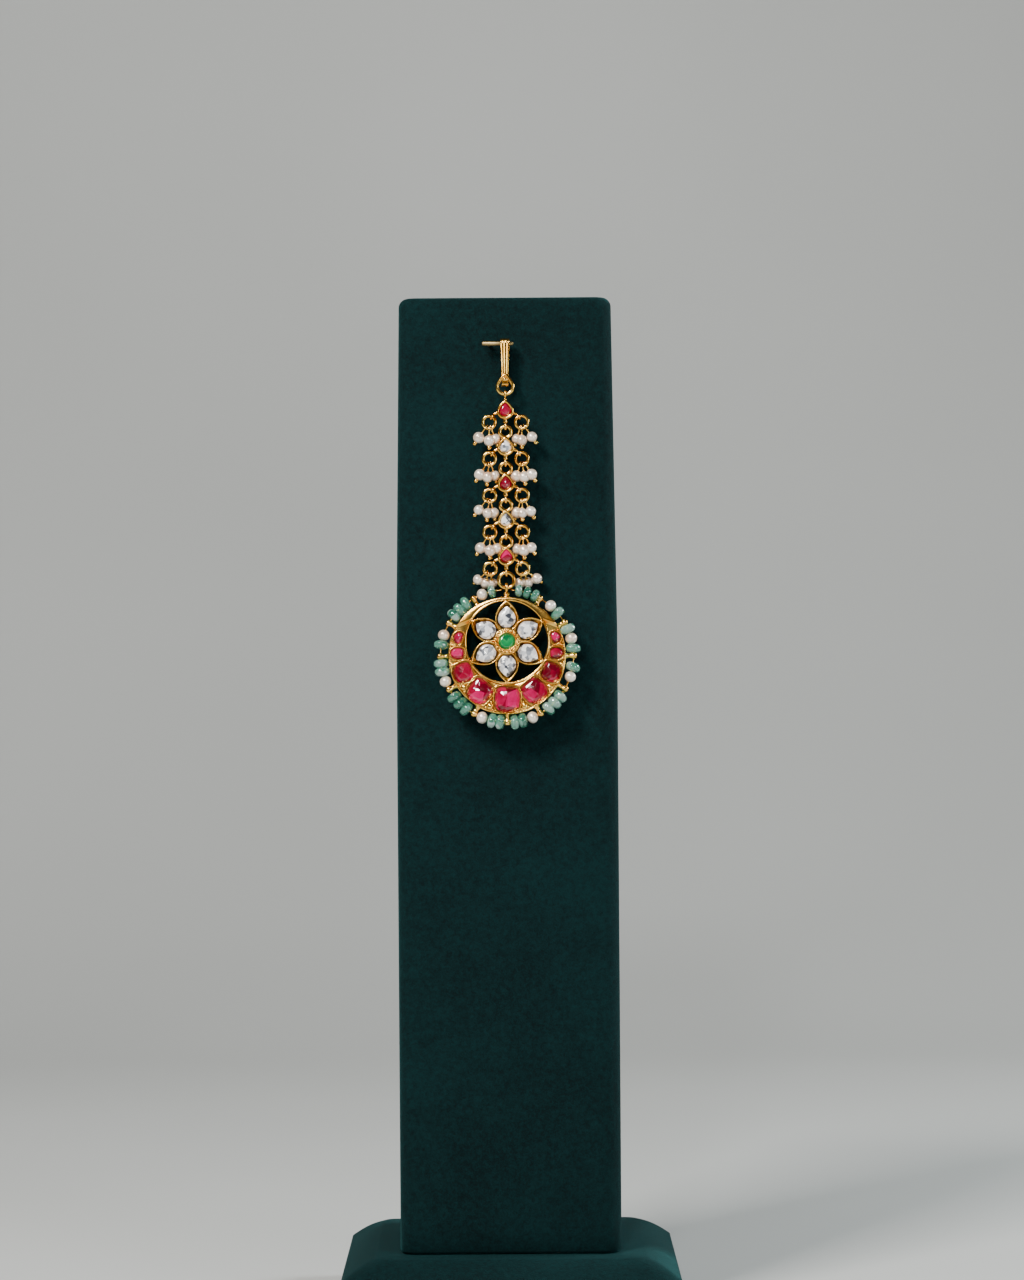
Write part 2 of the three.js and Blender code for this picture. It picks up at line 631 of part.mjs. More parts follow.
/** A closed tube of changing radius along the string's circle, through stations of turn and radius. */
function strand(stations, side) {
  const points = [];
  const faces = [];
  stations.forEach(([turn, radius], row) => {
    for (let step = 0; step < BEAD_SIDES; step += 1) {
      const around = side * step / BEAD_SIDES * 2 * Math.PI;
      const reach = STRING_RADIUS + radius * Math.cos(around);
      points.push(side * Math.sin(turn) * reach, radius * Math.sin(around), Math.cos(turn) * reach);
      if (row === 0) continue;
      const here = row * BEAD_SIDES + step;
      const next = row * BEAD_SIDES + (step + 1) % BEAD_SIDES;
      faces.push(here, next, here - BEAD_SIDES);
      faces.push(next, next - BEAD_SIDES, here - BEAD_SIDES);
    }
  });
  const last = (stations.length - 1) * BEAD_SIDES;
  for (let step = 2; step < BEAD_SIDES; step += 1) {
    faces.push(0, step - 1, step);
    faces.push(last, last + step, last + step - 1);
  }
  const geometry = new THREE.BufferGeometry();
  geometry.setAttribute('position', new THREE.Float32BufferAttribute(points, 3));
  return geometry.setIndex(faces);
}

/** One side's string: a bare wire from the bail to the bottom eyelet, swelling into its beads. */
function beadString(gaps, side) {
  const stations = [[rad(STRING_START), STRING_WIRE]];
  gaps.forEach((beads, gap) => {
    if (gap > 0) stations.push([rad(gap * EYELET_STEP), STRING_WIRE]);
    const lengths = [...beads].map((kind) => BEADS[kind].length + BEAD_GAP);
    const total = lengths.reduce((sum, length) => sum + length, 0);
    const middle = (gap + 0.5) * EYELET_STEP + (gap === 0 ? FIRST_GAP_TURN : 0);
    let reach = rad(middle) - total / 2 / STRING_RADIUS;
    [...beads].forEach((kind, order) => {
      const { radius, profile } = BEADS[kind];
      const span = lengths[order] / STRING_RADIUS;
      stations.push([reach, STRING_WIRE]);
      for (const [share, width] of profile) stations.push([reach + share * span, width * radius]);
      reach += span;
    });
    stations.push([reach, STRING_WIRE]);
  });
  stations.push([Math.PI - STRING_END_GAP / STRING_RADIUS, STRING_WIRE]);
  return solid(strand(stations, side));
}

const tikka = new THREE.Group();
tikka.add(named('stand_base', standBase(), finish.velvet));
tikka.add(named('stand_tower', standTower(), finish.velvet));
tikka.add(named('display_pin', displayPin(), finish.brass));
tikka.add(named('hook', earHook(), finish.gold));
for (let index = 0; index < LINK_COUNT; index += 1) {
  const label = index + 1;
  const z = firstLinkZ - index * linkPitch;
  tikka.add(named(`pear_link_${label}`, pearLink(index), finish.gold));
  tikka.add(named(`pear_stone_${label}`, pearStone(index), index % 2 ? finish.white : finish.ruby));
  for (const side of [-1, 1]) {
    const hand = side < 0 ? 'left' : 'right';
    const at = [side * SIDE_RING_X, chainY, z - SIDE_RING_DROP];
    const sideRing = solid(ring(SIDE_RING_RADIUS, SIDE_RING_WIRE, at));
    tikka.add(named(`side_ring_${hand}_${label}`, sideRing, finish.gold));
    tikka.add(named(`pearl_drops_${hand}_${label}`, pearlDrops(index, side), finish.pearl));
  }
}
const pendantRing = ring(PENDANT_RING_RADIUS, PENDANT_RING_WIRE, [0, chainY, pendantRingZ]);
tikka.add(named('pendant_ring', solid(pendantRing), finish.gold));

// The pendant hangs from the ring's lowest wire and leans its foot toward the viewer.
const swing = new THREE.Group();
swing.position.set(0, chainY, pivotZ);
swing.rotation.x = -rad(PENDANT_LEAN);
const pendant = new THREE.Group();
pendant.position.z = -discBelowPivot;
pendant.add(named('pendant_frame', pendantFrame(), finish.gold));
for (let index = 0; index < PETAL_COUNT; index += 1) {
  pendant.add(named(`petal_stone_${index + 1}`, petalStone(index), finish.white));
}
pendant.add(named('centre_stone', centreStone(), finish.green));
rubyPlaces().forEach((place, index) => {
  pendant.add(named(`ruby_${index + 1}`, ruby(place), finish.ruby));
});
pendant.add(named('bead_string_left', beadString(LEFT_GAPS, -1), finish.emerald));
pendant.add(named('bead_string_right', beadString(RIGHT_GAPS, 1), finish.emerald));
swing.add(pendant);
tikka.add(swing);

export default tikka;
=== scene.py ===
"""Looks for a maang tikka on its velvet display stand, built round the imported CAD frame.

Local shapes are worked out in millimetres: x to the right, y away from the viewer, z up.
"""
import logging
from collections.abc import Sequence
from dataclasses import dataclass, field
from enum import Enum

import bmesh
import bpy
import numpy as np
from mathutils import Matrix

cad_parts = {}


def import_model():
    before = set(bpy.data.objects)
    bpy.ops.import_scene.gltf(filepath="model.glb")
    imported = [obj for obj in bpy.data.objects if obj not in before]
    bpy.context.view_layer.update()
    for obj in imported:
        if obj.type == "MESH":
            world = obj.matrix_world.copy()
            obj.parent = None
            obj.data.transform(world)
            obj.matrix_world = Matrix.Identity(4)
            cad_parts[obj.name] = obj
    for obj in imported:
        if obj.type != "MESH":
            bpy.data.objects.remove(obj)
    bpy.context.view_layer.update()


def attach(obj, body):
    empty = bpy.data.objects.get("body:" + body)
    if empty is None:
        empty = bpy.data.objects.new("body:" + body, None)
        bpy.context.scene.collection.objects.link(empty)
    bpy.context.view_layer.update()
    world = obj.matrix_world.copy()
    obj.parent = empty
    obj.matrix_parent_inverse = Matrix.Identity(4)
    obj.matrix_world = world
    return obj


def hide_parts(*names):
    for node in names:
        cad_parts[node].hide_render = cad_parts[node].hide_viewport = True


LOG = logging.getLogger("tikka")
MM = 0.001
TURN = 2 * np.pi
Points = np.ndarray
Pairs = Sequence[tuple[float, float]]


class Body(Enum):
    """The rigid bodies that a piece can ride on."""

    STAND = "stand_and_chain"
    PENDANT = "pendant"


class Side(Enum):
    """The two sides of the chain."""

    LEFT = -1
    RIGHT = 1


# Shader helpers


class Value:
    """A socket whose arithmetic adds Math nodes."""

    def __init__(self, graph: "Graph", socket: bpy.types.NodeSocket) -> None:
        """Keep the graph and the socket."""
        self.graph = graph
        self.socket = socket

    def _math(self, operation: str, first: object, second: object) -> "Value":
        """Add one Math node of two inputs."""
        return self.graph.node("ShaderNodeMath", {"operation": operation}, {0: first, 1: second})

    def __add__(self, other: object) -> "Value":
        """Sum."""
        return self._math("ADD", self, other)

    def __mul__(self, other: object) -> "Value":
        """Product."""
        return self._math("MULTIPLY", self, other)

    def __sub__(self, other: object) -> "Value":
        """Difference."""
        return self._math("SUBTRACT", self, other)

    def __rsub__(self, other: object) -> "Value":
        """Reflected difference."""
        return self._math("SUBTRACT", other, self)

    __radd__ = __add__
    __rmul__ = __mul__


class Graph:
    """One material's node tree round a Principled shader."""

    def __init__(self, name: str) -> None:
        """Start a material with nodes and find its shader.

        Args:
            name: the material's name.
        """
        self.material = bpy.data.materials.new(name)
        self.material.use_nodes = True
        self.tree = self.material.node_tree
        self.shader = self.tree.nodes["Principled BSDF"]

    def node(self, kind: str, settings: dict, inputs: dict, output: object = 0) -> Value:
        """Add a node.

        Args:
            kind: the node's type.
            settings: its properties, set first; "stops" fills a colour ramp.
            inputs: values or links by socket name or number.
            output: the socket that is returned.

        Returns:
            The chosen output.
        """
        made = self.tree.nodes.new(kind)
        for key, value in settings.items():
            if key == "stops":
                self._fill_ramp(made.color_ramp, value)
            else:
                setattr(made, key, value)
        for key, value in inputs.items():
            self.feed(made.inputs[key], value)
        return Value(self, made.outputs[output])

    def feed(self, socket: bpy.types.NodeSocket, value: object) -> None:
        """Link a Value to a socket, or set a plain value on it.

        Args:
            socket: the input to fill.
            value: a Value to link, or a plain number, colour or vector.
        """
        if isinstance(value, Value):
            self.tree.links.new(value.socket, socket)
        else:
            socket.default_value = value

    def set(self, **values: object) -> None:
        """Set shader sockets by name, with underscores for spaces."""
        for key, value in values.items():
            self.feed(self.shader.inputs[key.replace("_", " ")], value)

    @staticmethod
    def _fill_ramp(ramp: bpy.types.ColorRamp, stops: Sequence) -> None:
        """Put stops of place and colour on a ramp.

        Args:
            ramp: the node's colour ramp.
            stops: pairs of place and colour, in order.
        """
        while len(ramp.elements) < len(stops):
            ramp.elements.new(0.5)
        for element, (place, colour) in zip(ramp.elements, stops):
            element.position = place
            element.color = (*colour, 1.0)

    def place(self) -> Value:
        """The Object coordinates."""
        return self.node("ShaderNodeTexCoord", {}, {}, "Object")

    def noise(self, scale: float, detail: float = 3.0, rough: float = 0.5) -> Value:
        """Noise of the given scale over Object coordinates."""
        inputs = {"Vector": self.place(), "Scale": scale, "Detail": detail, "Roughness": rough}
        return self.node("ShaderNodeTexNoise", {}, inputs, "Fac")

    def ramp(self, mask: Value, stops: Sequence) -> Value:
        """Colours along a mask."""
        return self.node("ShaderNodeValToRGB", {"stops": stops}, {"Fac": mask}, "Color")

    def bump(self, height: Value, distance: float, strength: float = 1.0) -> None:
        """Feed a height to the shader's normal."""
        inputs = {"Height": height, "Distance": distance, "Strength": strength}
        self.set(Normal=self.node("ShaderNodeBump", {}, inputs, "Normal"))


@dataclass(frozen=True)
class Velvet:
    """Short-pile velvet: dark body, pale sheen at grazing angles, brushed patches."""

    name: str = "velvet"
    dark: tuple = (0.0004, 0.0056, 0.0063)
    light: tuple = (0.0022, 0.0185, 0.0198)
    pile_scale: float = 2600.0
    tuft_scale: float = 700.0
    patch_scale: float = 28.0
    sheen: float = 0.16
    relief: float = 0.0004

    def material(self) -> bpy.types.Material:
        """Build the material.

        Returns:
            The velvet material.
        """
        graph = Graph(self.name)
        pile = graph.noise(self.pile_scale, 2.0, 0.7)
        tuft = graph.noise(self.tuft_scale, 3.0, 0.7)
        patch = graph.noise(self.patch_scale, 3.0, 0.55)
        mask = pile * 0.4 + tuft * 0.35 + patch * 0.25
        graph.set(
            Base_Color=graph.ramp(mask, [(0.4, self.dark), (0.6, self.light)]),
            Roughness=0.86 + pile * 0.12,
            Sheen_Weight=self.sheen,
            Sheen_Roughness=0.38,
            Sheen_Tint=(0.12, 0.6, 0.62, 1.0),
            Specular_IOR_Level=0.12,
        )
        graph.bump(pile * 0.6 + tuft * 0.4, self.relief, 0.8)
        return graph.material


@dataclass(frozen=True)
class Metal:
    """Polished or dull metal with fine tool marks."""

    name: str
    deep: tuple
    bright: tuple
    roughness: float
    tone_scale: float = 260.0
    grain_scale: float = 900.0
    relief: float = 0.00003

    def material(self) -> bpy.types.Material:
        """Build the material.

        Returns:
            The metal's material.
        """
        graph = Graph(self.name)
        tone = graph.noise(self.tone_scale, 3.0)
        grain = graph.noise(self.grain_scale, 4.0, 0.6)
        graph.set(
            Base_Color=graph.ramp(tone, [(0.32, self.deep), (0.68, self.bright)]),
            Metallic=1.0,
            Roughness=self.roughness + (grain - 0.5) * 0.16,
        )
        graph.bump(grain, self.relief, 0.7)
        return graph.material


@dataclass(frozen=True)
class Pearl:
    """Freshwater pearl: cream body, soft coat and shallow ripples."""

    name: str = "pearl"
    cream: tuple = (0.80, 0.57, 0.41)
    white: tuple = (1.0, 0.90, 0.78)
    lustre: float = 0.4
    cloud_scale: float = 360.0
    ripple_scale: float = 700.0
    relief: float = 0.00005

    def material(self) -> bpy.types.Material:
        """Build the material.

        Returns:
            The pearl material.
        """
        graph = Graph(self.name)
        cloud = graph.noise(self.cloud_scale, 3.0)
        graph.set(
            Base_Color=graph.ramp(cloud, [(0.3, self.cream), (0.62, self.white)]),
            Roughness=0.24 + cloud * 0.12,
            Metallic=self.lustre,
            Coat_Weight=1.0,
            Coat_Roughness=0.16,
            Specular_IOR_Level=0.8,
        )
        graph.bump(graph.noise(self.ripple_scale, 2.0), self.relief, 0.5)
        return graph.material


@dataclass(frozen=True)
class Gem:
    """A stone: its own colour with painted facet glints and shade, fine inclusions, clarity, gloss and a
    faint painted glow.
    """

    name: str
    tones_and_glints: tuple
    facet_scale: float
    cloud_share: float = 0.3
    clarity: float = 0.0
    roughness: float = 0.05
    refraction: float = 1.7
    # Strength of a painted glow: the stone gives off light of its own colour.
    glow: float = 0.0
    coat: float = 0.6

    def material(self) -> bpy.types.Material:
        """Build the material: a cell pattern mixed with noise picks the tone, which paints lighter and
        darker facets as glints and shade.

        Returns:
            The stone's material.
        """
        graph = Graph(self.name)
        inputs = {"Vector": graph.place(), "Scale": self.facet_scale}
        cells = graph.node("ShaderNodeTexVoronoi", {"feature": "F1"}, inputs, "Color")
        cloud = graph.noise(self.facet_scale * 1.4, 4.0, 0.6)
        mask = cells * (1 - self.cloud_share) + cloud * self.cloud_share
        # Painted glints: each cell takes a darker or brighter tone, standing in for light and shade off
        # the facets.
        colour = graph.ramp(mask, self.tones_and_glints)
        graph.set(
            Base_Color=colour,
            Roughness=self.roughness + cloud * 0.05,
            Transmission_Weight=self.clarity,
            IOR=self.refraction,
            Coat_Weight=self.coat,
            Coat_Roughness=0.03,
            # Painted glow: the stone gives off a faint light in its own colour, though it is no lamp.
            Emission_Color=colour,
            Emission_Strength=self.glow,
        )
        return graph.material


GOLD = Metal("gold_plate", (0.80, 0.36, 0.045), (1.0, 0.66, 0.16), 0.18)
PIN_BRASS = Metal("pin_brass", (0.22, 0.15, 0.06), (0.42, 0.31, 0.14), 0.42)
# Tone tables: each stone's hue is its own colour; the lighter and darker stops paint facet glints and
# shade.
RUBY_TONES_AND_GLINTS = ((0.25, (0.10, 0.0, 0.006)), (0.5, (0.27, 0.0, 0.022)), (0.75, (0.58, 0.0, 0.11)))
RUBY = Gem("ruby", RUBY_TONES_AND_GLINTS, 300.0, 0.35, glow=0.06, coat=0.2)
# Painted glitter: the white stones' cells run from near black to white as painted facet reflections.
WHITE_GLINT_TONES = (
    (0.22, (0.05, 0.055, 0.07)), (0.38, (0.35, 0.37, 0.41)),
    (0.52, (0.78, 0.79, 0.81)), (0.7, (1.0, 1.0, 1.0)),
)
WHITE_STONE = Gem("white_stone", WHITE_GLINT_TONES, 1050.0, 0.06, glow=0.03)
GREEN_TONES_AND_GLINTS = ((0.3, (0.0, 0.13, 0.035)), (0.7, (0.005, 0.42, 0.11)))
GREEN_STONE = Gem("green_stone", GREEN_TONES_AND_GLINTS, 260.0, 0.5, glow=0.03)
# The emeralds' cells are partly each bead's own tone and partly a pale painted highlight.
EMERALD_TONES_AND_GLINTS = ((0.28, (0.04, 0.24, 0.155)), (0.5, (0.16, 0.48, 0.35)), (0.75, (0.62, 0.84, 0.75)))
EMERALD = Gem(
    "emerald_bead", EMERALD_TONES_AND_GLINTS, 240.0, cloud_share=0.45, clarity=0.55, roughness=0.03,
    refraction=1.55, glow=0.03, coat=1.0,
)
FINISHES = (Velvet(), GOLD, PIN_BRASS, RUBY, WHITE_STONE, GREEN_STONE, EMERALD, Pearl())


# Surfaces


def spin(angle: float, axis: int) -> Points:
    """The matrix that turns by an angle about axis 0, 1 or 2, by the right-hand rule.

    Args:
        angle: the turn in radians.
        axis: 0 for x, 1 for y, 2 for z.

    Returns:
        A 3 by 3 matrix.
    """
    c, s = np.cos(angle), np.sin(angle)
    matrix = np.eye(3)
    a, b = [(1, 2), (2, 0), (0, 1)][axis]
    matrix[a, a] = matrix[b, b] = c
    matrix[a, b] = -s
    matrix[b, a] = s
    return matrix


def aim(direction: Points) -> Points:
    """A matrix whose third column is the given direction and whose second stays near y.

    Args:
        direction: where the z axis goes, of any length.

    Returns:
        A 3 by 3 matrix.
    """
    z = direction / np.linalg.norm(direction)
    x = np.cross([0.0, 1.0, 0.0], z)
    x = x / np.linalg.norm(x) if np.linalg.norm(x) > 1e-6 else np.array([1.0, 0.0, 0.0])
    return np.stack([x, np.cross(z, x), z], axis=1)


@dataclass
class Shell:
    """Grids of points in millimetres that become one mesh object."""

    verts: list = field(default_factory=list)
    faces: list = field(default_factory=list)
    count: int = 0

    def grid(self, points: Points, wrap_u: bool = True, wrap_v: bool = False) -> "Shell":
        """Add a surface of quads.

        Args:
            points: rows along u, columns along v, each a point of three values.
            wrap_u: whether the last row joins the first.
            wrap_v: whether the last column joins the first.

        Returns:
            The shell itself.
        """
        rows, columns = points.shape[:2]
        u = np.arange(rows if wrap_u else rows - 1)
        v = np.arange(columns if wrap_v else columns - 1)
        a, b = np.meshgrid(u, v, indexing="ij")
        a2, b2 = (a + 1) % rows, (b + 1) % columns
        quads = np.stack([a * columns + b, a2 * columns + b, a2 * columns + b2, a * columns + b2], -1)
        self.verts.append(points.reshape(-1, 3))
        self.faces.append(quads.reshape(-1, 4) + self.count)
        self.count += rows * columns
        return self

    def add(self, other: "Shell", turn: Points = np.eye(3), at: Points = (0, 0, 0)) -> "Shell":
        """Add another shell, turned and then moved.

        Args:
            other: the shell to copy in.
            turn: a 3 by 3 matrix.
            at: where its origin goes.

        Returns:
            The shell itself.
        """
        for verts, faces in zip(other.verts, other.faces):
            self.verts.append(verts @ turn.T + np.asarray(at))
            self.faces.append(faces + self.count)
        self.count += other.count
        return self

    def piece(self, name: str, material: bpy.types.Material, smooth: bool = True) -> bpy.types.Object:
        """Make the object, with seams and poles closed and faces pointing out.

        Args:
            name: the object's name.
            material: its finish.
            smooth: whether its faces are shaded smooth.

        Returns:
            The object, linked to the scene.
        """
        mesh = bpy.data.meshes.new(name)
        verts = np.concatenate(self.verts) * MM
        mesh.from_pydata(verts.tolist(), [], np.concatenate(self.faces).tolist())
        shape = bmesh.new()
        shape.from_mesh(mesh)
        bmesh.ops.remove_doubles(shape, verts=shape.verts, dist=1e-7)
        bmesh.ops.dissolve_degenerate(shape, edges=shape.edges, dist=1e-8)
        bmesh.ops.recalc_face_normals(shape, faces=shape.faces)
        shape.to_mesh(mesh)
        shape.free()
        mesh.polygons.foreach_set("use_smooth", np.full(len(mesh.polygons), smooth))
        mesh.materials.append(material)
        made = bpy.data.objects.new(name, mesh)
        bpy.context.scene.collection.objects.link(made)
        return made


def wire_ring(radius: float, wire: float, around: int = 40, sides: int = 12) -> Shell:
    """A round wire ring in the x-z plane: a circle of the wire's radius carried round a circle.

    Args:
        radius: from the centre to the wire's middle.
        wire: the wire's radius.
        around: steps round the ring.
        sides: steps round the wire.

    Returns:
        The ring.
    """
    u = np.linspace(0, TURN, around, endpoint=False)[:, None]
    v = np.linspace(0, TURN, sides, endpoint=False)[None, :]
    reach = radius + wire * np.cos(v)
    points = np.stack([reach * np.cos(u), wire * np.sin(v) + 0 * u, reach * np.sin(u)], -1)
    return Shell().grid(points, True, True)


def turned(profile: Pairs, around: int = 24) -> Shell:
    """A lathe shape about z: each profile pair is a radius and a height.

    Args:
        profile: pairs of radius and height.
        around: steps round the axis.

    Returns:
        The lathe shape.
    """
    shape = np.array(profile, float)
    u = np.linspace(0, TURN, around, endpoint=False)[:, None]
    points = np.stack([np.cos(u) * shape[:, 0], np.sin(u) * shape[:, 0], shape[:, 1] + 0 * u], -1)
    return Shell().grid(points)


def ball(radius: float, around: int = 16, rows: int = 9, flat: float = 1.0) -> Shell:
    """A ball about the origin: a half circle turned about z, its height scaled by flat.

    Args:
        radius: the ball's radius.
        around: steps round z.
        rows: points from pole to pole.
        flat: height as a share of the width.

    Returns:
        The ball.
    """
    v = np.linspace(-np.pi / 2, np.pi / 2, rows)
    profile = np.stack([np.cos(v) * radius, np.sin(v) * radius * flat], -1)
    profile[[0, -1], 0] = 0
    return turned(profile, around)


def rod(start: Points, end: Points, profile: Pairs, around: int = 12) -> Shell:
    """A turned bar between two points: profile pairs are a share of the length and a radius.

    Args:
        start: one end.
        end: the other end.
        profile: pairs of a share of the length and a radius.
        around: steps round the bar.

    Returns:
        The closed bar.
    """
    start, end = np.asarray(start, float), np.asarray(end, float)
    length = np.linalg.norm(end - start)
    closed = [(0, 0), *profile, (1, 0)]
    shape = turned([(radius, share * length) for share, radius in closed], around)
    return Shell().add(shape, aim(end - start), start)


def squircle(width: float, height: float, power: float, steps: int) -> Points:
    """A superellipse outline: cosine and sine, each raised to two over the power.

    Args:
        width: full width.
        height: full height.
        power: 2 for an ellipse, more for squarer.
        steps: how many points.

    Returns:
        Points of x and z.
    """
    t = np.linspace(0, TURN, steps, endpoint=False)
    c, s = np.cos(t), np.sin(t)
    x = np.sign(c) * np.abs(c) ** (2 / power) * width / 2
    return np.stack([x, np.sign(s) * np.abs(s) ** (2 / power) * height / 2], -1)


def shield(width: float, height: float, power: float, steps: int) -> Points:
    """A superellipse whose upper half is squarer than its lower half.

    Args:
        width: full width.
        height: full height.
        power: the lower half's power.
        steps: how many points.

    Returns:
        Points of x and z.
    """
    points = squircle(width, height, power, steps)
    square = squircle(width, height, power + 1.6, steps)
    return np.where(points[:, 1:] > 1e-9, square, points)


def pear(width: float, height: float, steps: int) -> Points:
    """A pear outline, point up: an ellipse whose width shrinks toward its top.

    Args:
        width: full width, near enough.
        height: full height.
        steps: how many points.

    Returns:
        Points of x and z.
    """
    t = np.linspace(0, TURN, steps, endpoint=False) + TURN / 4
    rise = np.sin(t)
    taper = 1 - 0.62 * ((rise + 1) / 2) ** 2.2
    return np.stack([np.cos(t) * taper * width * 0.556, rise * height / 2], -1)


def petal(width: float, inner: float, tip: float, steps: int) -> Points:
    """A petal outline, tip up: one cubic curve for each flank and a straight inner end.

    Args:
        width: what the flank's knots are scaled by.
        inner: the straight end's height.
        tip: the tip's height.
        steps: how many points, near enough.

    Returns:
        Points of x and z.
    """
    length = tip - inner
    t = np.linspace(0, 1, steps // 2)[:, None]
    knots = np.array([
        [0, tip], [width * 0.5, tip - length * 0.26], [width * 0.74, inner + length * 0.3],
        [width * 0.2, inner],
    ])
    weights = [(1 - t) ** 3, 3 * t * (1 - t) ** 2, 3 * t ** 2 * (1 - t), t ** 3]
    flank = sum(weight * knot for weight, knot in zip(weights, knots))
    other = flank[::-1][:-1] * [-1, 1]
    return np.concatenate([flank, other])


def cell(outer: Points, inner: Points, rows: Pairs) -> Shell:
    """A closed cup between two outlines: each row is a blend from outer to inner and a depth y.

    The first and last rows are closed to their centres.

    Args:
        outer: the cup's outline.
        inner: the outline of its opening, with as many points.
        rows: pairs of blend and depth, from the back round the rim to the floor.

    Returns:
        The closed cup.
    """
    blend = np.array([row[0] for row in rows])[None, :, None]
    depth = np.array([row[1] for row in rows])[None, :]
    flat = outer[:, None, :] * (1 - blend) + inner[:, None, :] * blend
    points = np.stack([flat[..., 0], depth + 0 * flat[..., 0], flat[..., 1]], -1)
    first, last = points[:, :1].mean(0, keepdims=True), points[:, -1:].mean(0, keepdims=True)
    count = len(outer)
    closed = [np.repeat(first, count, 0), points, np.repeat(last, count, 0)]
    return Shell().grid(np.concatenate(closed, 1))


def cut_stone(
    outline: Points, back: float, front: float, table: float, dome: float, seed: int = 0,
) -> Shell:
    """A cut stone on an outline: pavilion, girdle, three rows of crown facets and a broken table.

    Crown points stand a little off their rows, by seeded random steps, so each facet has its tilt.

    Args:
        outline: the girdle's points.
        back: the y of its back.
        front: the y of its table's edge.
        table: the table's size as a share of the girdle.
        dome: how far the table's middle stands before its edge.
        seed: which set of random steps is used.

    Returns:
        The closed stone.
    """
    chance = np.random.default_rng(seed)
    centre = outline.mean(0)
    between = (outline + np.roll(outline, -1, 0)) / 2
    depth = front - back
    rings = [
        (outline, 0.55, 0.0, 0.0), (outline, 1.0, 0.4, 0.0), (outline, 1.0, 0.55, 0.0),
        (between, (2 + table) / 3, 0.78, 0.02), (outline, (1 + 2 * table) / 3, 0.92, 0.025),
        (between, table, 1.0, 0.02), (outline, table * 0.5, 1.0 + dome / abs(depth) * 0.6, 0.02),
    ]
    count = len(outline)
    rows = [np.array([centre[0], back, centre[1]])[None].repeat(count, 0)]
    for points, share, level, wander in rings:
        flat = centre + (points - centre) * share
        height = back + depth * (level + chance.uniform(-wander, wander, count))
        rows.append(np.stack([flat[:, 0], height, flat[:, 1]], -1))
    rows.append(np.array([centre[0], front - dome, centre[1]])[None].repeat(count, 0))
    return Shell().grid(np.stack(rows, 1))


def rounded_section(width: float, depth: float, radius: float, steps: int = 10) -> Points:
    """A rounded rectangle: a quarter circle at each corner and a straight flat between corners.

    Args:
        width: size along x.
        depth: size along y.
        radius: the corners' radius.
        steps: points to a corner.

    Returns:
        Points of x and y.
    """
    corners = []
    for index, (sx, sy) in enumerate([(1, 1), (-1, 1), (-1, -1), (1, -1)]):
        t = np.linspace(0, np.pi / 2, steps) + index * np.pi / 2
        x = sx * (width / 2 - radius) + radius * np.cos(t)
        y = sy * (depth / 2 - radius) + radius * np.sin(t)
        corners.append(np.stack([x, y], -1))
    return np.concatenate(corners)


# Sub-assemblies


def dress(piece: bpy.types.Object, body: Body, slot: str, *nodes: str) -> None:
    """Ride a piece on its body and hide the CAD nodes that it stands for.

    Args:
        piece: the object.
        body: the body that carries it.
        slot: the record's material slot; not used.
        nodes: the CAD nodes that it replaces.
    """
    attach(piece, body.value)
    if nodes:
        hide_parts(*nodes)
    LOG.info("%s rides on %s, %d faces", piece.name, body.value, len(piece.data.polygons))


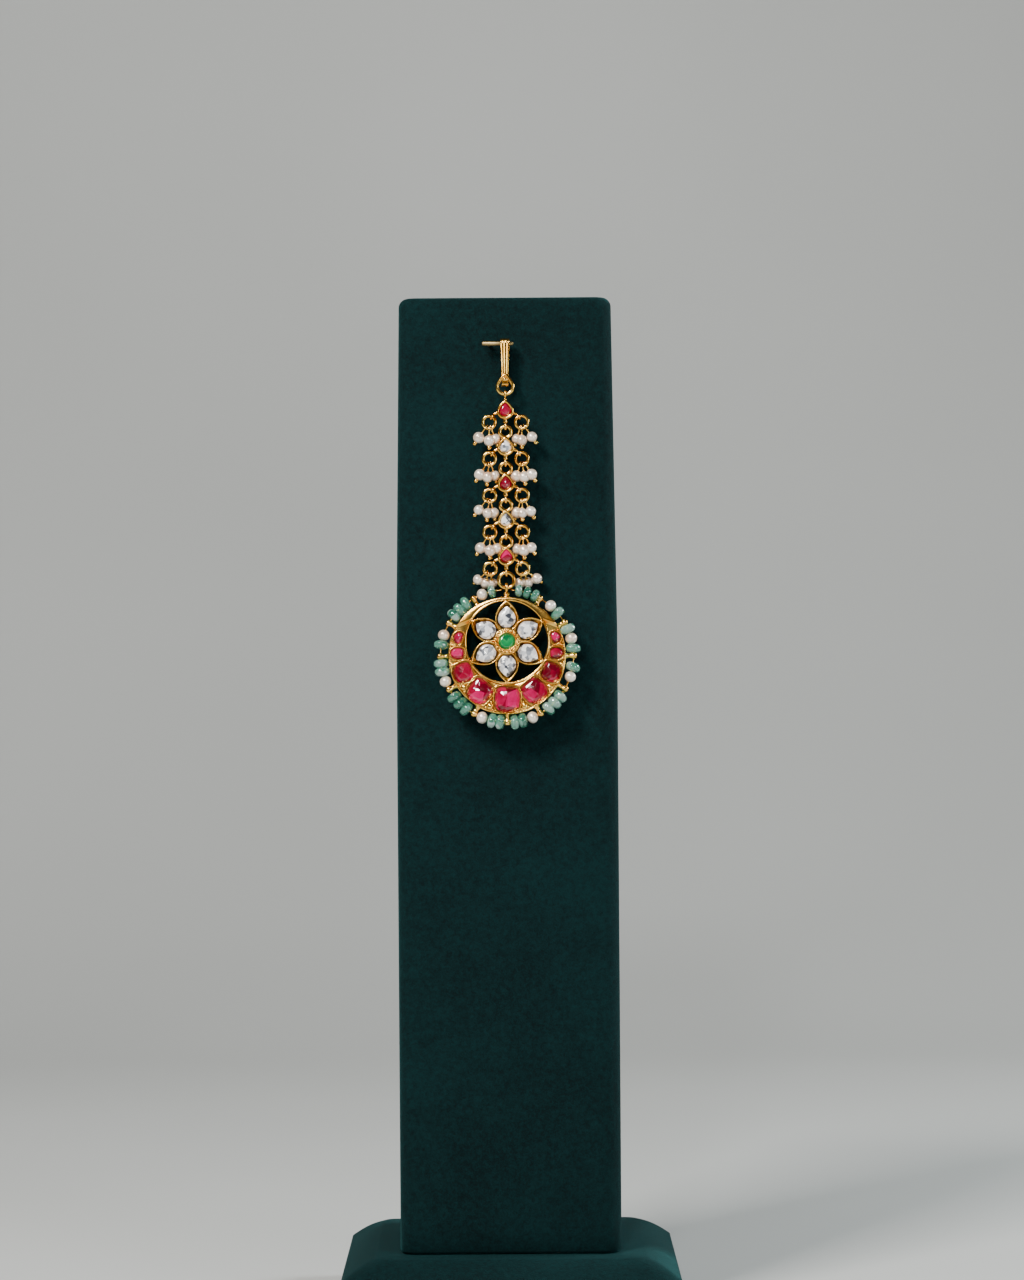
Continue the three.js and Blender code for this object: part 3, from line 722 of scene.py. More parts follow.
@dataclass
class Stand:
    """The velvet plinth, the upright block and the brass pin in it."""

    base_width: float = 93.0
    base_depth: float = 90.0
    base_height: float = 18.0
    slope_start: float = 12.6
    slope_width: float = 9.6
    base_corner: float = 6.0
    foot_rows: tuple = ((2.5, 0), (0.6, 0), (0.1, 0.4), (0, 1.0), (0, 6.0))
    slope_bow: float = 0.12
    base_cap_inset: float = 30.0
    tower_width: float = 61.0
    tower_top_width: float = 58.5
    tower_depth: float = 58.0
    tower_bottom: float = 18.3
    tower_height: float = 263.2
    taper_share: float = 0.65
    edge: float = 4.0
    top_edge: float = 2.6
    sole_insets: tuple = (8.0, 0.5)
    tower_cap_inset: float = 22.0
    pin_z: float = 268.4
    pin_y: float = -32.25
    pin_left: float = -6.3
    pin_right: float = 2.4
    shank_x: float = -4.4
    shank_end: float = -19.2
    shank_radius: float = 0.54

    def base(self) -> Shell:
        """The plinth: rounded sections that draw in over the slope.

        Returns:
            The plinth.
        """
        t = np.linspace(0, 1, 14)
        bow = t + self.slope_bow * np.sin(np.pi * t)
        foot = np.array(self.foot_rows)
        inset = np.concatenate([foot[:, 0], self.slope_width * t, [self.base_cap_inset]])
        slope = self.slope_start + (self.base_height - self.slope_start) * bow
        height = np.concatenate([foot[:, 1], slope, [self.base_height]])
        rings = []
        for draw, z in zip(inset, height):
            width, depth = self.base_width - 2 * draw, self.base_depth - 2 * draw
            flat = rounded_section(width, depth, max(self.base_corner - draw * 0.25, 2.0))
            rings.append(np.concatenate([flat, np.full((len(flat), 1), z)], 1))
        return self._closed(rings)

    def tower(self) -> Shell:
        """The block: rounded sections, a slight taper, and a quarter circle at its top edge.

        Returns:
            The block.
        """
        top = self.tower_bottom + self.tower_height
        taper_z = self.tower_bottom + self.tower_height * self.taper_share
        t = np.linspace(0, np.pi / 2, 9)
        low = np.linspace(self.tower_bottom + 0.8, taper_z, 24)
        high = np.linspace(taper_z, top - self.top_edge, 16)[1:]
        crown = top - self.top_edge * (1 - np.sin(t))
        height = np.concatenate([[self.tower_bottom] * 2, low, high, crown])
        draw = np.concatenate([self.sole_insets, 0 * low, 0 * high, self.top_edge * (1 - np.cos(t))])
        rings = []
        for z, inset in zip([*height, top], [*draw, self.tower_cap_inset]):
            narrow = np.clip((z - taper_z) / (top - taper_z), 0, 1)
            width = self.tower_width + (self.tower_top_width - self.tower_width) * narrow - 2 * inset
            flat = rounded_section(width, self.tower_depth - 2 * inset, max(self.edge - inset * 0.6, 1.0))
            rings.append(np.concatenate([flat, np.full((len(flat), 1), z)], 1))
        return self._closed(rings)

    @staticmethod
    def _closed(rings: list) -> Shell:
        """Join rings and close both ends to a centre point.

        Args:
            rings: arrays of points, from the bottom up, all of one length.

        Returns:
            The closed shell.
        """
        count = len(rings[0])
        ends = [np.repeat(ring.mean(0)[None], count, 0) for ring in (rings[0], rings[-1])]
        return Shell().grid(np.stack([ends[0], *rings, ends[1]], 1))

    def pin(self) -> Shell:
        """The pin: a crossbar with a rounded tip and a shank into the block.

        Returns:
            The pin.
        """
        left = (self.pin_left, self.pin_y, self.pin_z)
        right = (self.pin_right, self.pin_y, self.pin_z)
        rounded = [(0.0, 0.42), (0.03, 0.6), (0.9, 0.6), (0.96, 0.5), (0.99, 0.28)]
        shell = rod(left, right, rounded, 24)
        outer = (self.shank_x, self.pin_y, self.pin_z)
        inner = (self.shank_x, self.shank_end, self.pin_z)
        return shell.add(rod(outer, inner, [(0.0, self.shank_radius), (0.9, self.shank_radius)], 20))

    def build(self, looks: dict) -> None:
        """Make and dress the stand's pieces.

        Args:
            looks: the materials by slot name.
        """
        velvet = looks["velvet"]
        dress(self.base().piece("velvet_plinth", velvet), Body.STAND, "velvet", "stand_base")
        dress(self.tower().piece("velvet_block", velvet), Body.STAND, "velvet", "stand_tower")
        pin = self.pin().piece("brass_pin", looks["pin_brass"])
        dress(pin, Body.STAND, "pin_brass", "display_pin")


@dataclass
class Hook:
    """The flat grooved strip over the pin and the loop below it."""

    plane_y: float = -33.4
    bend: float = 1.15
    bend_drop: float = 0.3
    thickness: float = 0.6
    width: float = 2.45
    grooves: int = 3
    groove_depth: float = 0.13
    leg: float = 9.7
    rear_leg: float = 11.7
    loop_radius: float = 2.15
    loop_wire: float = 0.5
    taper: float = 0.28
    loop_pinch: float = 0.28
    loop_point: float = 1.0
    collar: tuple = ((0, -0.6), (0.6, -0.6), (0.85, -0.3), (0.8, 0.2), (0.6, 0.5), (0, 0.5))

    def strip(self, pin_y: float, pin_z: float) -> Shell:
        """The strip: a ribbed section that narrows downward, carried up, over and down again.

        Args:
            pin_y: the y of the pin's axis.
            pin_z: the z of the pin's axis.

        Returns:
            The strip.
        """
        t = np.linspace(0, np.pi, 26)
        arc = np.stack([-np.cos(t), np.sin(t)], -1)
        front = np.linspace(-self.leg, -self.bend_drop, 16)[:, None] * [0, 1]
        rear = np.linspace(-self.bend_drop, -self.rear_leg, 14)[:, None] * [0, 1]
        forward = np.array([-1.0, 0.0])
        path = np.concatenate([front + forward * self.bend, arc * self.bend, rear - forward * self.bend])
        out = np.concatenate([0 * front + forward, arc, 0 * rear - forward])
        s = np.linspace(-1, 1, 25)
        ribs = self.groove_depth * (0.5 + 0.5 * np.cos(s * np.pi * self.grooves)) * (np.abs(s) < 0.97)
        across = np.concatenate([s, s[::-1]]) / 2
        rise = np.concatenate([self.thickness / 2 - ribs, 0 * s - self.thickness / 2])
        flat = path[:, None] + out[:, None] * rise[None, :, None]
        narrow = 1 - self.taper * np.clip(-path[:, 1] / self.leg, 0, 1) ** 0.7
        x = across[None, :] * (self.width * narrow)[:, None]
        points = np.stack([x, pin_y + flat[..., 0], pin_z + flat[..., 1]], -1)
        ends = [points[:1].mean(1, keepdims=True), points[-1:].mean(1, keepdims=True)]
        closed = [np.repeat(ends[0], points.shape[1], 1), points, np.repeat(ends[1], points.shape[1], 1)]
        return Shell().grid(np.concatenate(closed, 0), False, True)

    def loop(self) -> Shell:
        """The loop: a wire ring whose top is drawn up to a point.

        Returns:
            The loop, about its own centre.
        """
        u = np.linspace(0, TURN, 56, endpoint=False)[:, None]
        v = np.linspace(0, TURN, 12, endpoint=False)[None, :]
        reach = self.loop_radius + self.loop_wire * np.cos(v)
        lift = np.maximum(np.cos(u), 0)
        x = reach * np.sin(u) * (1 - self.loop_pinch * lift ** 1.5)
        z = reach * np.cos(u) + self.loop_point * lift ** 3
        return Shell().grid(np.stack([x, self.loop_wire * np.sin(v) + 0 * u, z], -1), True, True)

    def build(self, stand: Stand, looks: dict) -> None:
        """Make and dress the hook.

        Args:
            stand: the stand, for the pin's place.
            looks: the materials by slot name.
        """
        shell = self.strip(stand.pin_y, stand.pin_z)
        centre = (0, self.plane_y, stand.pin_z - self.leg - self.loop_radius)
        shell.add(self.loop(), np.eye(3), centre)
        collar_at = (0, self.plane_y, stand.pin_z - self.leg - 0.1)
        shell.add(turned(self.collar), np.diag([1.1, 0.6, 1.0]), collar_at)
        dress(shell.piece("gold_hook", looks["gold_plate"]), Body.STAND, "gold_plate", "hook")


@dataclass
class Chain:
    """Five pear links with their stones, side rings and pearl drops, and the pendant's ring."""

    plane_y: float = -33.4
    first_z: float = 250.2
    pitch: float = 10.03
    count: int = 5
    width: float = 4.6
    height: float = 5.3
    depth: float = 2.0
    wall: float = 0.7
    ring_radius: float = 1.53
    ring_wire: float = 0.49
    ring_centre: float = 3.95
    bail_centre: float = 4.2
    eye_radius: float = 0.95
    eye_wire: float = 0.31
    eye_centre: float = -4.55
    side_ring_radius: float = 1.7
    side_ring_wire: float = 0.45
    side_x: float = 4.45
    side_drop: float = 3.45
    side_eye_radius: float = 0.8
    side_eye_wire: float = 0.28
    pearl_radius: float = 1.5
    loop_length: float = 2.6
    loop_rise: float = 0.78
    pendant_ring_radius: float = 2.1
    pendant_ring_wire: float = 0.5
    leans: tuple = ((33, 2), (6, -4), (-17, 21))
    last_leans: tuple = ((50, 30), (22, 45), (-6, 48))
    stub_profile: tuple = ((0.0, 0.7), (0.2, 0.72), (0.45, 0.56), (0.75, 0.68), (0.95, 0.6))
    arm_profile: tuple = ((0.0, 0.5), (0.3, 0.5), (0.55, 0.36), (0.8, 0.42), (1.0, 0.3))
    arm_degrees: float = 60.0
    arm_start: tuple = (1.9, -0.75)
    cap_profile: tuple = ((0, -0.15), (0.42, -0.15), (0.5, 0), (0.3, 0.16), (0, 0.16))
    drop_ball: float = 0.62
    drop_wire: float = 0.18
    drop_loop_width: float = 0.75
    out_spread: tuple = (-6, 6)
    back_spread: tuple = (-5, 1)
    size_spread: tuple = (0.92, 1.06)

    def __post_init__(self) -> None:
        """Seed the small differences between pearls."""
        self.random = np.random.default_rng(7)

    def link(self, index: int) -> Shell:
        """One link: cup, top ring or bail, wrapped stub and eye, and side arms with eyes.

        Args:
            index: the link's number from the top, 0 first.

        Returns:
            The link, about its own centre.
        """
        half = self.depth / 2
        outer = pear(self.width, self.height, 64)
        inner = pear(self.width - 2 * self.wall, self.height - 2.4 * self.wall, 64)
        rows = [
            (0.25, half), (0.0, half - 0.2), (0.0, -half * 0.6), (0.12, -half - 0.04),
            (0.45, -half - 0.12), (0.85, -half - 0.02), (1.0, -half + 0.2), (1.0, half - 0.5),
        ]
        shell = cell(outer, inner, rows)
        across = spin(np.pi / 2, 2)
        shell.add(wire_ring(self.eye_radius, self.eye_wire, 32, 10), across, (0, 0, self.eye_centre))
        stub_top, stub_end = (0, 0, -self.height / 2 + 0.35), (0, 0, self.eye_centre + 0.8)
        shell.add(rod(stub_top, stub_end, self.stub_profile, 16))
        if index == 0:
            shell.add(wire_ring(self.eye_radius, self.eye_wire, 32, 10), across, (0, 0, self.bail_centre))
            shell.add(rod((0, 0, 2.2), (0, 0, self.bail_centre - 0.8), [(0.0, 0.5), (1.0, 0.4)], 16))
        else:
            shell.add(wire_ring(self.ring_radius, self.ring_wire), np.eye(3), (0, 0, self.ring_centre))
        for side in Side:
            shell.add(self.arm(side.value))
        return shell

    def arm(self, side: int) -> Shell:
        """One side arm: a turned bar, thickest at the cup, and a small eye round the side ring.

        Args:
            side: -1 for the left, 1 for the right.

        Returns:
            The arm, in the link's own frame.
        """
        angle = np.radians(self.arm_degrees)
        toward = np.array([-side * np.cos(angle), 0, np.sin(angle)])
        centre = np.array([side * self.side_x, 0, -self.side_drop])
        eye = centre + toward * self.side_ring_radius
        end = eye + toward * self.side_eye_radius
        across = spin(-np.arctan2(toward[2], toward[0]), 1) @ spin(np.pi / 2, 0)
        shell = Shell().add(wire_ring(self.side_eye_radius, self.side_eye_wire, 28, 10), across, eye)
        start = np.array([side * self.arm_start[0], 0, self.arm_start[1]])
        shell.add(rod(start, end, self.arm_profile, 14))
        return shell

    def stone(self, index: int) -> Shell:
        """One pear stone in its cup.

        Args:
            index: the link's number, which seeds the facets.

        Returns:
            The stone, in the link's own frame.
        """
        inset = 2 * self.wall + 0.06
        outline = pear(self.width - inset, self.height - 1.2 * inset, 16)
        return cut_stone(outline, self.depth / 2 - 0.55, -self.depth / 2 - 0.2, 0.55, 0.1, index)

    def drops(self, index: int, side: int) -> tuple[Shell, Shell]:
        """The pearls, and the wires and balls, of one side ring's three drops.

        Args:
            index: the link's number.
            side: -1 for the left, 1 for the right.

        Returns:
            The pearls and the metal, about the side ring's centre.
        """
        pearls, metal = Shell(), Shell()
        for outward, backward in self.last_leans if index == self.count - 1 else self.leans:
            out = np.radians(outward + self.random.uniform(*self.out_spread)) * side
            down = np.array([np.sin(out), 0, -np.cos(out)])
            back = np.radians(backward + self.random.uniform(*self.back_spread))
            along = down + [0, np.tan(back), 0]
            along = along / np.linalg.norm(along)
            start = down * self.side_ring_radius
            turn = aim(-along)
            size = self.pearl_radius * self.random.uniform(*self.size_spread)
            loop = wire_ring(1.0, self.drop_wire, 32, 8)
            oval = np.diag([self.drop_loop_width, 1.0, self.loop_length / 2])
            middle = start + along * (self.loop_length / 2 - self.loop_rise)
            metal.add(loop, turn @ spin(np.pi / 2, 2) @ oval, middle)
            reach = self.loop_length - self.loop_rise
            pearls.add(self.baroque(size), turn, start + along * (reach + size))
            metal.add(turned(self.cap_profile, 14), turn, start + along * (reach - 0.02))
            tip = 0.0 if index == self.count - 1 else 0.3
            metal.add(ball(self.drop_ball), turn, start + along * (reach + 2 * size + 0.1 + tip))
        return pearls, metal

    def baroque(self, radius: float) -> Shell:
        """A slightly uneven pearl: a ball whose radius swells by low waves of its angles.

        Args:
            radius: the pearl's mean radius.

        Returns:
            The pearl, with its hole along z.
        """
        around, rows = 24, 15
        u = np.linspace(0, TURN, around, endpoint=False)[:, None]
        v = np.linspace(-np.pi / 2, np.pi / 2, rows)[None, :]
        phase = self.random.uniform(0, TURN, 3)
        swell = 1 + 0.035 * np.cos(v) * (np.sin(2 * u + phase[0]) + 0.6 * np.sin(3 * v + u + phase[1]))
        reach = radius * swell
        points = np.stack([
            reach * np.cos(v) * np.cos(u), reach * np.cos(v) * np.sin(u), radius * np.sin(v) + 0 * u,
        ], -1)
        points[:, [0, -1], :2] = 0
        return Shell().grid(points)

    def build(self, looks: dict) -> None:
        """Make and dress the chain.

        Args:
            looks: the materials by slot name.
        """
        for index in range(self.count):
            label = index + 1
            at = (0, self.plane_y, self.first_z - index * self.pitch)
            link = Shell().add(self.link(index), np.eye(3), at)
            name = f"gold_link_{label}"
            dress(link.piece(name, looks["gold_plate"]), Body.STAND, "gold_plate", f"pear_link_{label}")
            slot = "white_stone" if index % 2 else "ruby"
            stone = Shell().add(self.stone(index), np.eye(3), at)
            made = stone.piece(f"link_stone_{label}", looks[slot], False)
            dress(made, Body.STAND, slot, f"pear_stone_{label}")
            for side in Side:
                self.build_side(looks, index, side)
        ring_z = self.first_z - (self.count - 1) * self.pitch + self.eye_centre - self.pendant_ring_radius
        ring = wire_ring(self.pendant_ring_radius, self.pendant_ring_wire, 56, 16)
        large = Shell().add(ring, np.eye(3), (0, self.plane_y, ring_z))
        dress(large.piece("gold_ring", looks["gold_plate"]), Body.STAND, "gold_plate", "pendant_ring")

    def build_side(self, looks: dict, index: int, side: Side) -> None:
        """Make and dress one side ring and its drops.

        Args:
            looks: the materials by slot name.
            index: the link's number.
            side: which side of the chain.
        """
        hand = f"{side.name.lower()}_{index + 1}"
        z = self.first_z - index * self.pitch - self.side_drop
        at = (side.value * self.side_x, self.plane_y, z)
        ring = Shell().add(wire_ring(self.side_ring_radius, self.side_ring_wire), np.eye(3), at)
        made = ring.piece(f"jump_ring_{hand}", looks["gold_plate"])
        dress(made, Body.STAND, "gold_plate", f"side_ring_{hand}")
        pearls, metal = self.drops(index, side.value)
        made = Shell().add(pearls, np.eye(3), at).piece(f"pearls_{hand}", looks["pearl"])
        dress(made, Body.STAND, "pearl", f"pearl_drops_{hand}")
        made = Shell().add(metal, np.eye(3), at).piece(f"drop_wires_{hand}", looks["gold_plate"])
        dress(made, Body.STAND, "gold_plate")


@dataclass
class Pendant:
    """The round pendant: crescent, flower, eyelets, stones and the bead strings round it."""

    pivot: tuple = (0.0, -33.4, 201.33)
    lean: float = 5.0
    drop: float = 18.65
    radius: float = 16.1
    opening: float = 11.1
    rise: float = 3.85
    band: float = 0.6
    string_radius: float = 18.2
    emerald_radius: float = 2.15
    emerald_length: float = 2.25
    pearl_radius: float = 1.6
    bead_gap: float = 0.05
    string_wire: float = 0.17
    rubies: tuple = (
        (0.0, 7.0, 2.8), (37.8, 6.7, 2.6), (69.2, 5.6, 2.6), (92.6, 3.3, 2.0), (110.5, 3.4, 1.7),
    )
    ruby_margin: float = 1.05
    petals: int = 6
    petal_width: float = 6.3
    petal_inner: float = 2.8
    petal_wall: float = 0.7
    left_gaps: tuple = ("ep", "eee", "pe", "eep", "eee", "pee")
    right_gaps: tuple = ("eee", "pe", "epe", "ep", "eee", "pee")
    ruby_rows: tuple = (
        (0.0, 0.4), (0.0, -1.4), (0.15, -1.8), (0.4, -1.95), (0.7, -1.9), (0.95, -1.6),
        (1.0, -0.6), (1.0, 0.15),
    )
    petal_rows: tuple = (
        (0.0, 1.2), (0.0, -1.9), (0.05, -2.15), (0.15, -2.28), (0.32, -2.26), (0.42, -2.05),
        (0.5, -1.2), (1.0, -1.1), (1.0, -0.7),
    )
    cup_profile: tuple = (
        (0, -1.2), (3.3, -1.2), (3.4, -1.0), (3.45, 2.2), (3.62, 2.35), (3.6, 2.6), (3.35, 2.62),
        (2.75, 2.45), (2.6, 2.75), (2.38, 2.85), (2.22, 2.7), (2.22, 1.3), (0, 1.3),
    )
    neck_profile: tuple = (
        (0.0, 1.15), (0.12, 0.9), (0.28, 0.66), (0.42, 0.6), (0.52, 0.68), (0.64, 0.86),
        (0.78, 0.93), (0.91, 0.76), (0.98, 0.38),
    )
    foot_profile: tuple = (
        (0.0, 2.3), (0.12, 1.5), (0.3, 0.95), (0.5, 0.72), (0.72, 0.66), (0.9, 0.8), (1.0, 0.6),
    )
    gap_grains: tuple = ((-0.95, 0.75, 0.3), (0.95, 0.75, 0.3), (0.0, 2.6, 0.34))
    cup_grains: int = 18
    cup_grain_radius: float = 0.46
    cup_grain_reach: float = 3.05
    cup_grain_y: float = -2.62
    gap_degrees: int = 30
    centre_stone_width: float = 4.34
    first_gap_shift: float = 3.0
    first_gap_size: float = 0.85
    crescent_rows: tuple = (
        (0, 1.1), (0.04, 1.3), (0.96, 1.3), (1, 1.1), (1, -0.85), (0.97, -0.97), (0.85, -1.0),
        (0.5, -1.02), (0.15, -1.0), (0.03, -0.97), (0, -0.85),
    )
    band_section: tuple = (
        (0, 1.3), (0.6, 1.3), (0.66, 1.1), (0.62, -1.6), (0.5, -1.82), (0.12, -1.84), (0, -1.6),
    )
    plain_arm_degrees: float = 120.0
    edge_wire: float = 0.28
    edge_wire_y: float = -1.05
    leaf_half: tuple = (0.85, 0.42, 0.95)
    leaf_inset: float = 1.35
    leaf_y: float = -1.15
    grain_y: float = -1.3
    small_leaf: float = 0.6
    small_leaf_degrees: float = 60.0
    post_root: float = 0.4
    post_reach: float = 0.95
    foot_flat: float = 0.62
    collar_radius: float = 0.8
    collar_wire: float = 0.22
    collar_rise: float = 0.75
    bail_radius: float = 1.25
    bail_wire: float = 0.4
    bead_lean: float = 0.12
    bead_twist: float = 0.1
    pearl_spread: tuple = (0.97, 1.04)
    pearl_flat: float = 0.94
    # Each cut is the stone's back, front, table share and dome, as cut_stone takes them.
    ruby_cut: tuple = (0.1, -1.75, 0.62, 0.2)
    petal_cut: tuple = (-0.6, -1.95, 0.5, 0.2)
    centre_cut: tuple = (-1.35, -3.0, 0.7, 0.08)

    def __post_init__(self) -> None:
        """Seed the small differences between beads."""
        self.random = np.random.default_rng(11)

    def placed(self, shell: Shell) -> Shell:
        """Move a shell from the pendant's own frame to its place, leaning from the pivot."""
        turn = spin(-np.radians(self.lean), 0)
        return Shell().add(shell, turn, np.array(self.pivot) - turn @ [0, 0, self.drop])

    def ruby_places(self) -> list:
        """Each ruby's turn from straight down, centre distance, height, width and power.

        Returns:
            One tuple for each ruby, sorted by its turn.
        """
        places = []
        for side in Side:
            for row, (degrees, width, power) in enumerate(self.rubies):
                if row == 0 and side is Side.RIGHT:
                    continue
                angle = np.radians(degrees)
                reach = self.opening + self.band
                inner = np.sqrt(reach ** 2 - (self.rise * np.sin(angle)) ** 2) - self.rise * np.cos(angle)
                height = self.radius - inner - self.ruby_margin
                places.append((side.value * angle, (inner + self.radius) / 2, height, width, power))
        return sorted(places)

    def at_turn(self, shell: Shell, angle: float, distance: float) -> Shell:
        """Place a shape made for straight down at an angle round the disc's centre."""
        turn = spin(-angle, 1)
        return Shell().add(shell, turn, turn @ [0, 0, -distance])

    def crescent(self) -> Shell:
        """The plate between two circles that don't share a centre.

        A closed section of share and depth is carried round; its front rises on the plain arms.

        Returns:
            The plate, in the pendant's own frame.
        """
        u = np.linspace(0, TURN, 160, endpoint=False)
        ring = np.stack([np.sin(u), -np.cos(u)], -1)
        inner = ring * (self.opening + 0.2) + [0, self.rise]
        outer = ring * (self.radius - 0.05)
        past = np.minimum(u, TURN - u) - np.radians(self.plain_arm_degrees)
        arm = np.clip(past / np.radians(2), 0, 1)
        front = 0.95 + 0.75 * arm * arm * (3 - 2 * arm)
        share, lift = np.array(self.crescent_rows).T
        flat = inner[:, None] * (1 - share[None, :, None]) + outer[:, None] * share[None, :, None]
        depth = np.where(lift[None] > 0, lift[None], lift[None] * front[:, None])
        points = np.stack([flat[..., 0], depth, flat[..., 1]], -1)
        return Shell().grid(points, True, True)

    def bands(self) -> Shell:
        """The inner band, and a fine wire just inside the crescent's outer edge.

        Returns:
            The band and the wire, in the pendant's own frame.
        """
        u = np.linspace(0, TURN, 140, endpoint=False)[:, None]
        section = np.array(self.band_section)
        reach = self.opening + section[None, :, 0]
        points = np.stack([
            reach * np.sin(u), section[None, :, 1] + 0 * u, self.rise - reach * np.cos(u),
        ], -1)
        shell = Shell().grid(points, True, True)
        wire = wire_ring(self.radius - self.edge_wire, self.edge_wire, 160, 12)
        return shell.add(wire, np.eye(3), (0, self.edge_wire_y, 0))

    def ruby_cells(self) -> Shell:
        """The cups that hold the rubies, with rounded rims.

        Returns:
            The nine cups, in the pendant's own frame.
        """
        shell = Shell()
        for angle, distance, height, width, power in self.ruby_places():
            outer = shield(width + 0.95, height + 0.95, power, 72)
            inner = shield(width + 0.2, height + 0.2, power, 72)
            shell.add(self.at_turn(cell(outer, inner, self.ruby_rows), angle, distance))
        return shell

    def edge_ornament(self) -> Shell:
        """Between neighbouring rubies at the outer edge: a leaf and three grains.

        Returns:
            The leaves and grains, in the pendant's own frame.
        """
        shell = Shell()
        turns = [place[0] for place in self.ruby_places()]
        middles = [(a + b) / 2 for a, b in zip(turns, turns[1:])]
        leaf_shape = ball(1.0, 20, 11)
        for angle in middles:
            wide = 1.0 if abs(angle) < np.radians(self.small_leaf_degrees) else self.small_leaf
            leaf = Shell().add(leaf_shape, np.diag(np.array(self.leaf_half) * [wide, 1, wide]))
            placed = self.at_turn(leaf, angle, self.radius - self.leaf_inset * wide - 0.2)
            shell.add(placed, np.eye(3), (0, self.leaf_y, 0))
            for offset, out, size in self.gap_grains:
                grain = Shell().add(ball(size, 12, 7), np.eye(3), (offset * wide, self.grain_y, 0))
                shell.add(self.at_turn(grain, angle, self.radius - out * wide - 0.1))
        return shell

    def flower(self) -> Shell:
        """Six deep petal cups, the centre cup, and its ring of grains.

        Returns:
            The flower, in the pendant's own frame.
        """
        shell = Shell()
        tip = self.opening + self.band / 2
        outer = petal(self.petal_width, self.petal_inner, tip, 64)
        wall = self.petal_wall
        inner = petal(self.petal_width - 2 * wall, self.petal_inner + 1.5 * wall, tip - 2.3 * wall, 64)
        for index in range(self.petals):
            turn = spin(index * TURN / self.petals, 1)
            shell.add(cell(outer, inner, self.petal_rows), turn, (0, 0, self.rise))
        shell.add(turned(self.cup_profile, 64), spin(np.pi / 2, 0), (0, 0, self.rise))
        grain = ball(self.cup_grain_radius, 12, 8)
        for angle in np.arange(self.cup_grains) * TURN / self.cup_grains:
            x, z = np.sin(angle) * self.cup_grain_reach, np.cos(angle) * self.cup_grain_reach
            shell.add(grain, np.eye(3), (x, self.cup_grain_y, self.rise + z))
        return shell

    def hardware(self) -> Shell:
        """The eyelet posts, the flared foot with its collar, and the bail.

        Returns:
            The posts, the foot, the collar and the bail, in the pendant's own frame.
        """
        shell = Shell()
        for angle in np.radians(np.arange(self.gap_degrees, 360, self.gap_degrees)):
            out = np.array([np.sin(angle), 0, np.cos(angle)])
            inner = out * (self.radius - self.post_root)
            outer = out * (self.string_radius + self.post_reach)
            shell.add(rod(inner, outer, self.neck_profile, 16))
        foot = rod((0, 0, self.radius - 0.7), (0, 0, self.drop - 1.2), self.foot_profile, 24)
        shell.add(foot, np.diag([1.0, self.foot_flat, 1.0]))
        collar = wire_ring(self.collar_radius, self.collar_wire, 28, 10)
        shell.add(collar, spin(np.pi / 2, 0), (0, 0, self.radius + self.collar_rise))
        bail = wire_ring(self.bail_radius, self.bail_wire, 48, 14)
        return shell.add(bail, spin(np.pi / 2, 2), (0, 0, self.drop))

    def string(self, gaps: tuple, side: int) -> tuple[Shell, Shell, Shell]:
        """The emeralds, pearls and bare wire of one side.

        Args:
            gaps: the beads between neighbouring eyelets, e for emerald and p for pearl.
            side: -1 for the left, 1 for the right.

        Returns:
            The emeralds, the pearls and the wire, in the pendant's own frame.
        """
        emeralds, pearls = Shell(), Shell()
        sizes = {"e": self.emerald_length, "p": 2 * self.pearl_radius}
        for gap, beads in enumerate(gaps):
            lengths = [sizes[kind] + self.bead_gap for kind in beads]
            middle = self.gap_degrees * (gap + 0.5) + (self.first_gap_shift if gap == 0 else 0)
            reach = np.radians(middle) - sum(lengths) / 2 / self.string_radius
            for kind, length in zip(beads, lengths):
                angle = reach + length / 2 / self.string_radius
                reach += length / self.string_radius
                turn = spin(side * angle, 1)
                at = turn @ [0, 0, self.string_radius]
                lean = spin(self.random.uniform(-self.bead_lean, self.bead_lean), 1)
                lean = lean @ spin(self.random.uniform(-self.bead_twist, self.bead_twist), 2)
                if kind == "e":
                    shape = self.rondelle(self.first_gap_size if gap == 0 else 1.0)
                    emeralds.add(shape, turn @ lean @ spin(np.pi / 2, 1), at)
                else:
                    size = self.pearl_radius * self.random.uniform(*self.pearl_spread)
                    shape = ball(size, 28, 17, self.pearl_flat)
                    pearls.add(shape, turn @ lean @ spin(np.pi / 2, 1), at)
        return emeralds, pearls, self.bare_wire(side)

    def bare_wire(self, side: int) -> Shell:
        """The wire that carries one side's beads: a small circle carried round half a large one.

        Args:
            side: -1 for the left, 1 for the right.

        Returns:
            The wire, in the pendant's own frame.
        """
        sides = 8
        t = np.linspace(np.radians(4), np.pi - 0.02, 120)[:, None]
        v = np.linspace(0, TURN, sides, endpoint=False)[None, :]
        reach = self.string_radius + self.string_wire * np.cos(v)
        depth = self.string_wire * np.sin(v) + 0 * t
        points = np.stack([side * np.sin(t) * reach, depth, np.cos(t) * reach], -1)
        start, end = (row.mean(1, keepdims=True).repeat(sides, 1) for row in (points[:1], points[-1:]))
        return Shell().grid(np.concatenate([start, points, end], 0), False, True)

